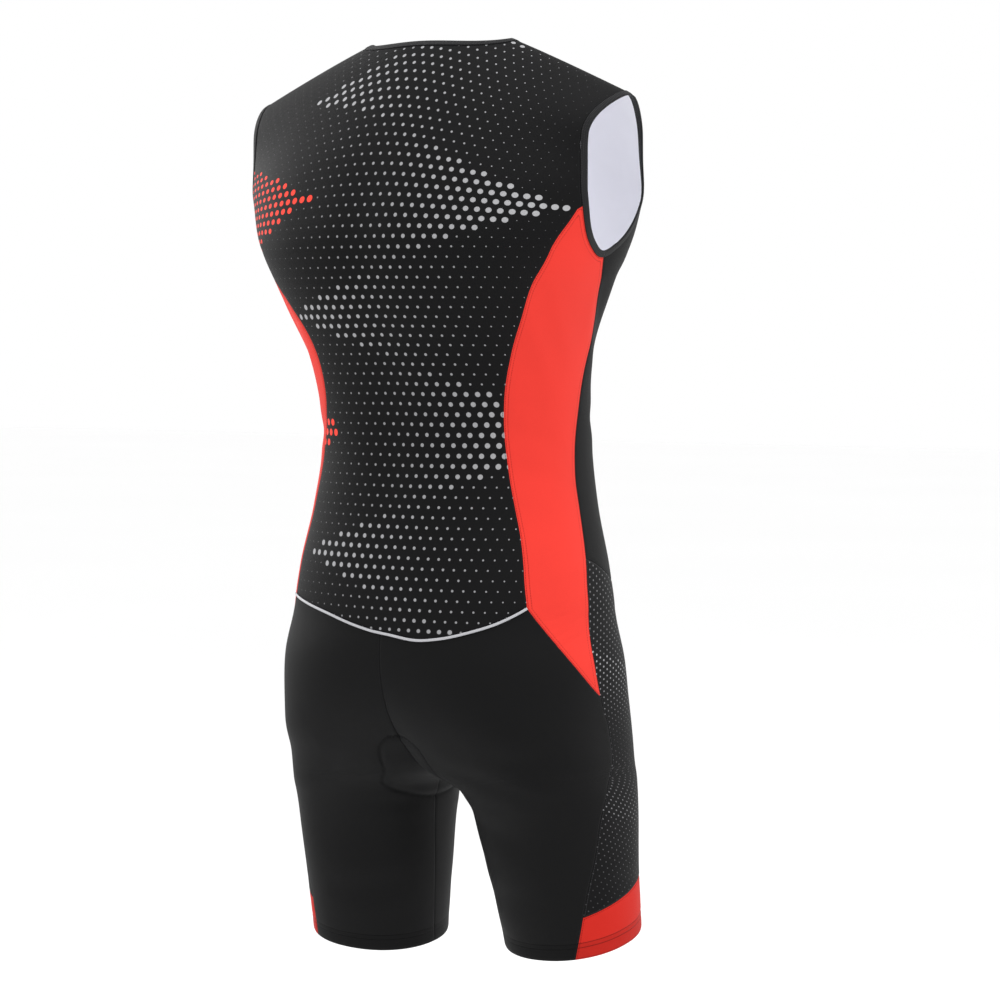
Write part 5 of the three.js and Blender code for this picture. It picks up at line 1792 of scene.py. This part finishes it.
@dataclass
class FrontZip:
    """Coil zip with woven tapes, a slider and a pull tab on a bridge."""

    chain_half: float = 3
    chain_out: float = 0.2
    tooth_pitch: float = 1.4
    tooth_size: tuple[float, float, float] = (3.4, 0.85, 1.5)
    core_thick: float = 0.9
    tape_inner: float = 3.3
    tape_outer: float = 14
    tape_depth: float = 1.75
    tape_thick: float = 0.8
    end_z: float = -415
    strip_rows: int = 150
    strip_columns: int = 8
    slider_below_neck: float = 9
    slider_half: float = 4.6
    slider_length: float = 11
    slider_lift: float = 0.35
    slider_thick: float = 3
    slider_tail: float = 0.6
    bridge_half: float = 0.9
    bridge_length: float = 8.4
    bridge_leg: float = 1.5
    bridge_inside: float = 2.4
    bridge_roof: float = 1.1
    pull_half: float = 3.1
    pull_length: float = 24
    pull_thick: float = 1.3
    pull_bar: float = 1.4
    pull_window: float = 5
    pull_window_half: float = 1.7
    pull_tip_half: float = 2.3
    bevel: float = 0.3

    def top_z(self) -> float:
        """Height at which the zip meets the neckline."""
        return float(CUT.neck_places(Side.LEFT, np.array([180.0]), "front")[0, 1])

    def strip(self, start: float, end: float, out: float, thick: float) -> tuple[Grid, Grid, Grid]:
        """Outer and inner grids of a strip of the chest, with its map."""
        z = np.linspace(self.end_z, self.top_z(), self.strip_rows + 1)
        x = np.linspace(start, end, self.strip_columns + 1)
        x_grid, z_grid = np.meshgrid(x, z, indexing="ij")
        left = FORM.across_chest(1, np.abs(x_grid), z_grid)
        sign = np.where(x_grid < 0, -1, 1)
        places = np.stack([left[..., 0] * sign, left[..., 1]], -1)
        points = FORM.point(places)
        normals = FORM.normal(places)
        chart = np.stack([lengths_along(points.transpose(1, 0, 2)).T, x_grid - start], -1)
        return points + normals * out, points + normals * (out - thick), chart * MM

    def build_tapes(self) -> None:
        """Builds the two woven tapes."""
        for side in Side:
            ends = sorted((side.value * self.tape_inner, side.value * self.tape_outer))
            outer, inner, chart = self.strip(ends[0], ends[1], -self.tape_depth, self.tape_thick)
            name = f"zip_tape_{side.word}"
            piece = Wall(f"{name}_weave", outer, inner, {"Cloth": chart}, ZIP_TAPE, ZIP_TAPE).build()
            place(piece, name, "zip_tape")
            length = float(lengths_along(outer[0])[-1]) * MM

    def tooth(self) -> bpy.types.Mesh:
        """One coil tooth: a bevelled bar, modelled at the origin."""
        deselect_all()
        bpy.ops.mesh.primitive_cube_add(size=1)
        bar = bpy.context.object
        bpy.ops.object.mode_set(mode="EDIT")
        bpy.ops.transform.resize(value=tuple(v * MM for v in self.tooth_size))
        bpy.ops.mesh.bevel(offset=0.22 * MM, segments=1, affect="EDGES")
        bpy.ops.object.mode_set(mode="OBJECT")
        mesh = bar.data.copy()
        bpy.data.objects.remove(bar)
        return mesh

    def build_chain(self) -> None:
        """Builds the interlocked coil on its core, as one joined mesh."""
        mesh = self.tooth()
        template = np.array([v.co[:] for v in mesh.vertices]) / MM
        faces = [list(p.vertices) for p in mesh.polygons]
        z = np.linspace(self.end_z + 0.4, self.top_z() - 0.4, 400)
        line = FORM.point(FORM.across_chest(1, np.zeros_like(z), z))
        marks = lengths_along(line)
        count = int(marks[-1] // (self.tooth_pitch / 2))
        at = (np.arange(count) + 0.5) * marks[-1] / count
        height = np.interp(at, marks, z)
        places = FORM.across_chest(1, np.zeros_like(height), height)
        normals = FORM.normal(places)
        normals[:, 0] = 0
        normals = unit(normals)
        points = FORM.point(places)
        up = unit(np.stack([np.zeros(count), -normals[:, 2], normals[:, 1]], -1))
        up *= np.sign(up[:, 2:3])
        core_outer, core_inner, _ = self.strip(
            -self.chain_half + 0.4, self.chain_half - 0.4, self.chain_out - 0.85, self.core_thick
        )
        vertices = []
        polygons = []
        shift = 0.62
        sink = self.chain_out - self.tooth_size[2] / 2
        for k in range(count):
            side = 1 if k % 2 else -1
            centre = points[k] + normals[k] * sink + np.array([side * shift, 0, 0])
            tilt = template[:, 1:2] + template[:, 0:1] * side * 0.04
            sideways = template[:, :1] * np.array([1, 0, 0])
            moved = centre + sideways + tilt * up[k] + template[:, 2:] * normals[k]
            polygons += [[i + len(vertices) for i in face] for face in faces]
            vertices += moved.tolist()
        core = Wall("core", core_outer, core_inner, {}, COIL, COIL).build()
        offset = len(vertices)
        vertices += [[c / MM for c in v.co] for v in core.data.vertices]
        polygons += [[i + offset for i in p.vertices] for p in core.data.polygons]
        bpy.data.objects.remove(core)
        chain = bpy.data.meshes.new("zip_coil")
        chain.from_pydata((np.array(vertices) * MM).tolist(), [], polygons)
        chain.materials.append(FINISHES.get(COIL))
        piece = bpy.data.objects.new("zip_coil", chain)
        bpy.context.scene.collection.objects.link(piece)
        outward_faces(piece)
        place(piece, "zip_chain", "zip_chain")

    def holder(self) -> Matrix:
        """Frame of the slider: X across, Y into the chest and Z up along the chain."""
        height = np.array([self.top_z() - self.slider_below_neck])
        places = np.stack([np.full(1, FORM.share(np.array([180.0]), height)[0]), height], -1)
        normal = FORM.normal(places)[0]
        origin = (FORM.point(places)[0] + normal * self.chain_out) * MM
        turn = math.atan2(-normal[2], -normal[1])
        return Matrix.Translation(Vector((0, origin[1], origin[2]))) @ Matrix.Rotation(turn, 4, "X")

    def bar(self, name: str, size: Sequence[float], centre: Sequence[float]) -> bpy.types.Object:
        """Adds a box in the slider's frame, in millimetres."""
        deselect_all()
        bpy.ops.mesh.primitive_cube_add(size=1)
        made = bpy.context.object
        made.name = name
        bpy.ops.object.mode_set(mode="EDIT")
        bpy.ops.transform.resize(value=tuple(v * MM for v in size))
        bpy.ops.transform.translate(value=tuple(v * MM for v in centre))
        bpy.ops.object.mode_set(mode="OBJECT")
        return made

    def finish_metal(self, piece: bpy.types.Object, segments: int = 2) -> None:
        """Bevels a piece, moves it into the slider's frame and paints it."""
        bevel = piece.modifiers.new("edges", "BEVEL")
        bevel.width = self.bevel * MM
        bevel.segments = segments
        bevel.limit_method = "ANGLE"
        bpy.context.view_layer.objects.active = piece
        bpy.ops.object.modifier_apply(modifier=bevel.name)
        piece.data.transform(self.holder())
        piece.data.materials.clear()
        piece.data.materials.append(FINISHES.get(ENAMEL))
        deselect_all()
        piece.select_set(True)
        bpy.context.view_layer.objects.active = piece
        bpy.ops.object.shade_smooth_by_angle(angle=math.radians(35))

    def taper(self, piece: bpy.types.Object, below: float, share: float) -> None:
        """Narrows the vertices that lie below a height of the slider's frame."""
        for vertex in piece.data.vertices:
            if vertex.co.z < below * MM:
                vertex.co.x *= share

    def cut_rows(self, piece: bpy.types.Object, heights: Sequence[float]) -> None:
        """Cuts rows of edges across a piece at heights of the slider's frame."""
        deselect_all()
        piece.select_set(True)
        bpy.context.view_layer.objects.active = piece
        bpy.ops.object.mode_set(mode="EDIT")
        for height in heights:
            bpy.ops.mesh.select_all(action="SELECT")
            bpy.ops.mesh.bisect(plane_co=(0, 0, height * MM), plane_no=(0, 0, 1))
        bpy.ops.object.mode_set(mode="OBJECT")

    def build_slider(self) -> None:
        """Builds the slider's body and the bridge over it, as one piece."""
        face = -self.slider_lift - self.slider_thick
        plate = self.bar(
            "zip_slider_body",
            (2 * self.slider_half, self.slider_thick, self.slider_length),
            (0, face + self.slider_thick / 2, 0),
        )
        self.cut_rows(plate, (0.0,))
        self.taper(plate, -self.slider_length / 4, self.slider_tail)
        height = self.bridge_inside + self.bridge_roof
        parts = [
            self.bar(
                "leg", (2 * self.bridge_half, height, self.bridge_leg),
                (0, face - height / 2, end * (self.bridge_length - self.bridge_leg) / 2),
            )
            for end in (-1, 1)
        ]
        parts.append(
            self.bar(
                "roof", (2 * self.bridge_half, self.bridge_roof, self.bridge_length),
                (0, face - self.bridge_inside - self.bridge_roof / 2, 0),
            )
        )
        for part in parts:
            union = plate.modifiers.new("join", "BOOLEAN")
            union.operation = "UNION"
            union.solver = "EXACT"
            union.object = part
            bpy.context.view_layer.objects.active = plate
            bpy.ops.object.modifier_apply(modifier=union.name)
            bpy.data.objects.remove(part)
        self.finish_metal(plate)
        place(plate, "zip_slider", "zip_metal")

    def build_pull(self) -> None:
        """Builds the pull tab: a plate narrowed at its tip, with a window."""
        hinge = -self.slider_lift - self.slider_thick - self.bridge_inside / 2
        top = self.pull_bar / 2
        tab = self.bar(
            "zip_pull_tab",
            (2 * self.pull_half, self.pull_thick, self.pull_length + top),
            (0, hinge, (top - self.pull_length) / 2),
        )
        self.cut_rows(tab, (-self.pull_length * 0.6, -self.pull_length * 0.9))
        self.taper(tab, -self.pull_length * 0.95, self.pull_tip_half / self.pull_half)
        window = self.bar(
            "window",
            (2 * self.pull_window_half, 4 * self.pull_thick, self.pull_window),
            (0, hinge, -self.pull_bar / 2 - self.pull_window / 2),
        )
        cut = tab.modifiers.new("window", "BOOLEAN")
        cut.operation = "DIFFERENCE"
        cut.solver = "EXACT"
        cut.object = window
        bpy.context.view_layer.objects.active = tab
        bpy.ops.object.modifier_apply(modifier=cut.name)
        bpy.data.objects.remove(window)
        self.finish_metal(tab)
        place(tab, "zip_pull", "zip_metal", "pull_tab")

    def build(self) -> None:
        """Builds the whole zip."""
        self.build_tapes()
        self.build_chain()
        self.build_slider()
        self.build_pull()


@dataclass(frozen=True)
class Lamp:
    """A soft disc light, which faces the suit's middle unless it has another target."""

    name: str
    spot: tuple[float, float, float]
    size: float
    power: float
    target: tuple[float, float, float] = (0, 0, -0.42)

    def build(self) -> None:
        """Adds the light to the scene."""
        data = bpy.data.lights.new(self.name, "AREA")
        data.shape = "DISK"
        data.size = self.size
        data.energy = self.power
        light = bpy.data.objects.new(self.name, data)
        light.location = Vector(self.spot)
        light.rotation_euler = (Vector(self.target) - light.location).to_track_quat("-Z", "Y").to_euler()
        light.visible_camera = False
        bpy.context.scene.collection.objects.link(light)


@dataclass
class Studio:
    """Camera at the photograph's angle, pale floor and soft light."""

    azimuth: float = 36
    distance: float = 2700
    mm_per_pixel: float = 0.95
    frame_pixels: float = 1000
    eye_pixel: float = 343
    neck_pixel: float = 42
    axis_pixel: float = 453
    floor_z: float = -1.6
    floor_size: float = 60
    floor_colour: tuple[float, float, float, float] = rgba(0.99, 0.99, 0.99)
    sky: tuple[float, float, float, float] = rgba(1.0, 1.0, 1.0)
    sky_strength: float = 1.0
    lamps: tuple[Lamp, ...] = (
        Lamp("key", (-2.6, 2.4, 1.7), 2.2, 24),
        Lamp("fill", (1.2, 3.4, 0.6), 2.6, 10),
        Lamp("rim_left", (2.6, -0.2, 0.5), 1.6, 34),
        Lamp("top", (-0.6, 0.6, 2.6), 1.2, 60),
        Lamp("front", (-1.0, -3.2, 0.9), 2.4, 26),
        Lamp("armhole", (-1.7, -0.5, 0.5), 0.7, 10),
        Lamp("inside", (0.03, 0.045, -0.15), 0.07, 0.16, (-0.12, -0.12, -0.15)),
    )

    def build_camera(self) -> None:
        """Places the camera and sets its lens."""
        focal = self.distance / self.mm_per_pixel
        middle = self.frame_pixels / 2
        theta = math.radians(self.azimuth)
        eye_z = -(self.eye_pixel - self.neck_pixel) * self.mm_per_pixel
        spot = Vector((-math.sin(theta) * self.distance, math.cos(theta) * self.distance, eye_z)) * MM
        yaw = math.atan((middle - self.axis_pixel) / focal)
        pitch = math.atan((middle - self.eye_pixel) / focal)
        look = Vector((math.sin(theta), -math.cos(theta), 0))
        look.rotate(Matrix.Rotation(-yaw, 3, "Z"))
        look = look * math.cos(pitch) - Vector((0, 0, math.sin(pitch)))
        data = bpy.data.cameras.new("camera")
        data.sensor_width = 36
        data.lens = data.sensor_width * focal / self.frame_pixels
        camera = bpy.data.objects.new("camera", data)
        camera.location = spot
        camera.rotation_euler = look.to_track_quat("-Z", "Y").to_euler()
        bpy.context.scene.collection.objects.link(camera)
        bpy.context.scene.camera = camera

    def build(self) -> None:
        """Builds camera, floor, sky and lights."""
        scene = bpy.context.scene
        scene.view_settings.view_transform = "Standard"
        self.build_camera()
        deselect_all()
        bpy.ops.mesh.primitive_plane_add(size=self.floor_size, location=(0, 0, 0))
        floor = bpy.context.object
        floor.name = "studio_floor"
        floor.data.transform(Matrix.Translation((0, 0, self.floor_z)))
        graph = Graph("studio_floor")
        colour = graph.shaded(self.floor_colour, 0.99 + graph.noise(0.5, 1) * 0.02)
        graph.finish(colour, graph.noise(3, 1) * 0.05 + 0.8, graph.noise(40, 1), 0.0001)
        floor.data.materials.append(graph.material)
        world = bpy.data.worlds.new("studio")
        world.use_nodes = True
        background = world.node_tree.nodes["Background"]
        background.inputs["Color"].default_value = self.sky
        background.inputs["Strength"].default_value = self.sky_strength
        scene.world = world
        for lamp in self.lamps:
            lamp.build()


def main() -> None:
    """Builds the suit and its studio."""
    logging.basicConfig(level=logging.INFO, format="%(name)s: %(message)s")
    Studio().build()
    PanelSet().build()
    Trims().build()
    SeatPad().build()
    FrontZip().build()
    deselect_all()
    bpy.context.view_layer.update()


if __name__ == "__main__":
    main()
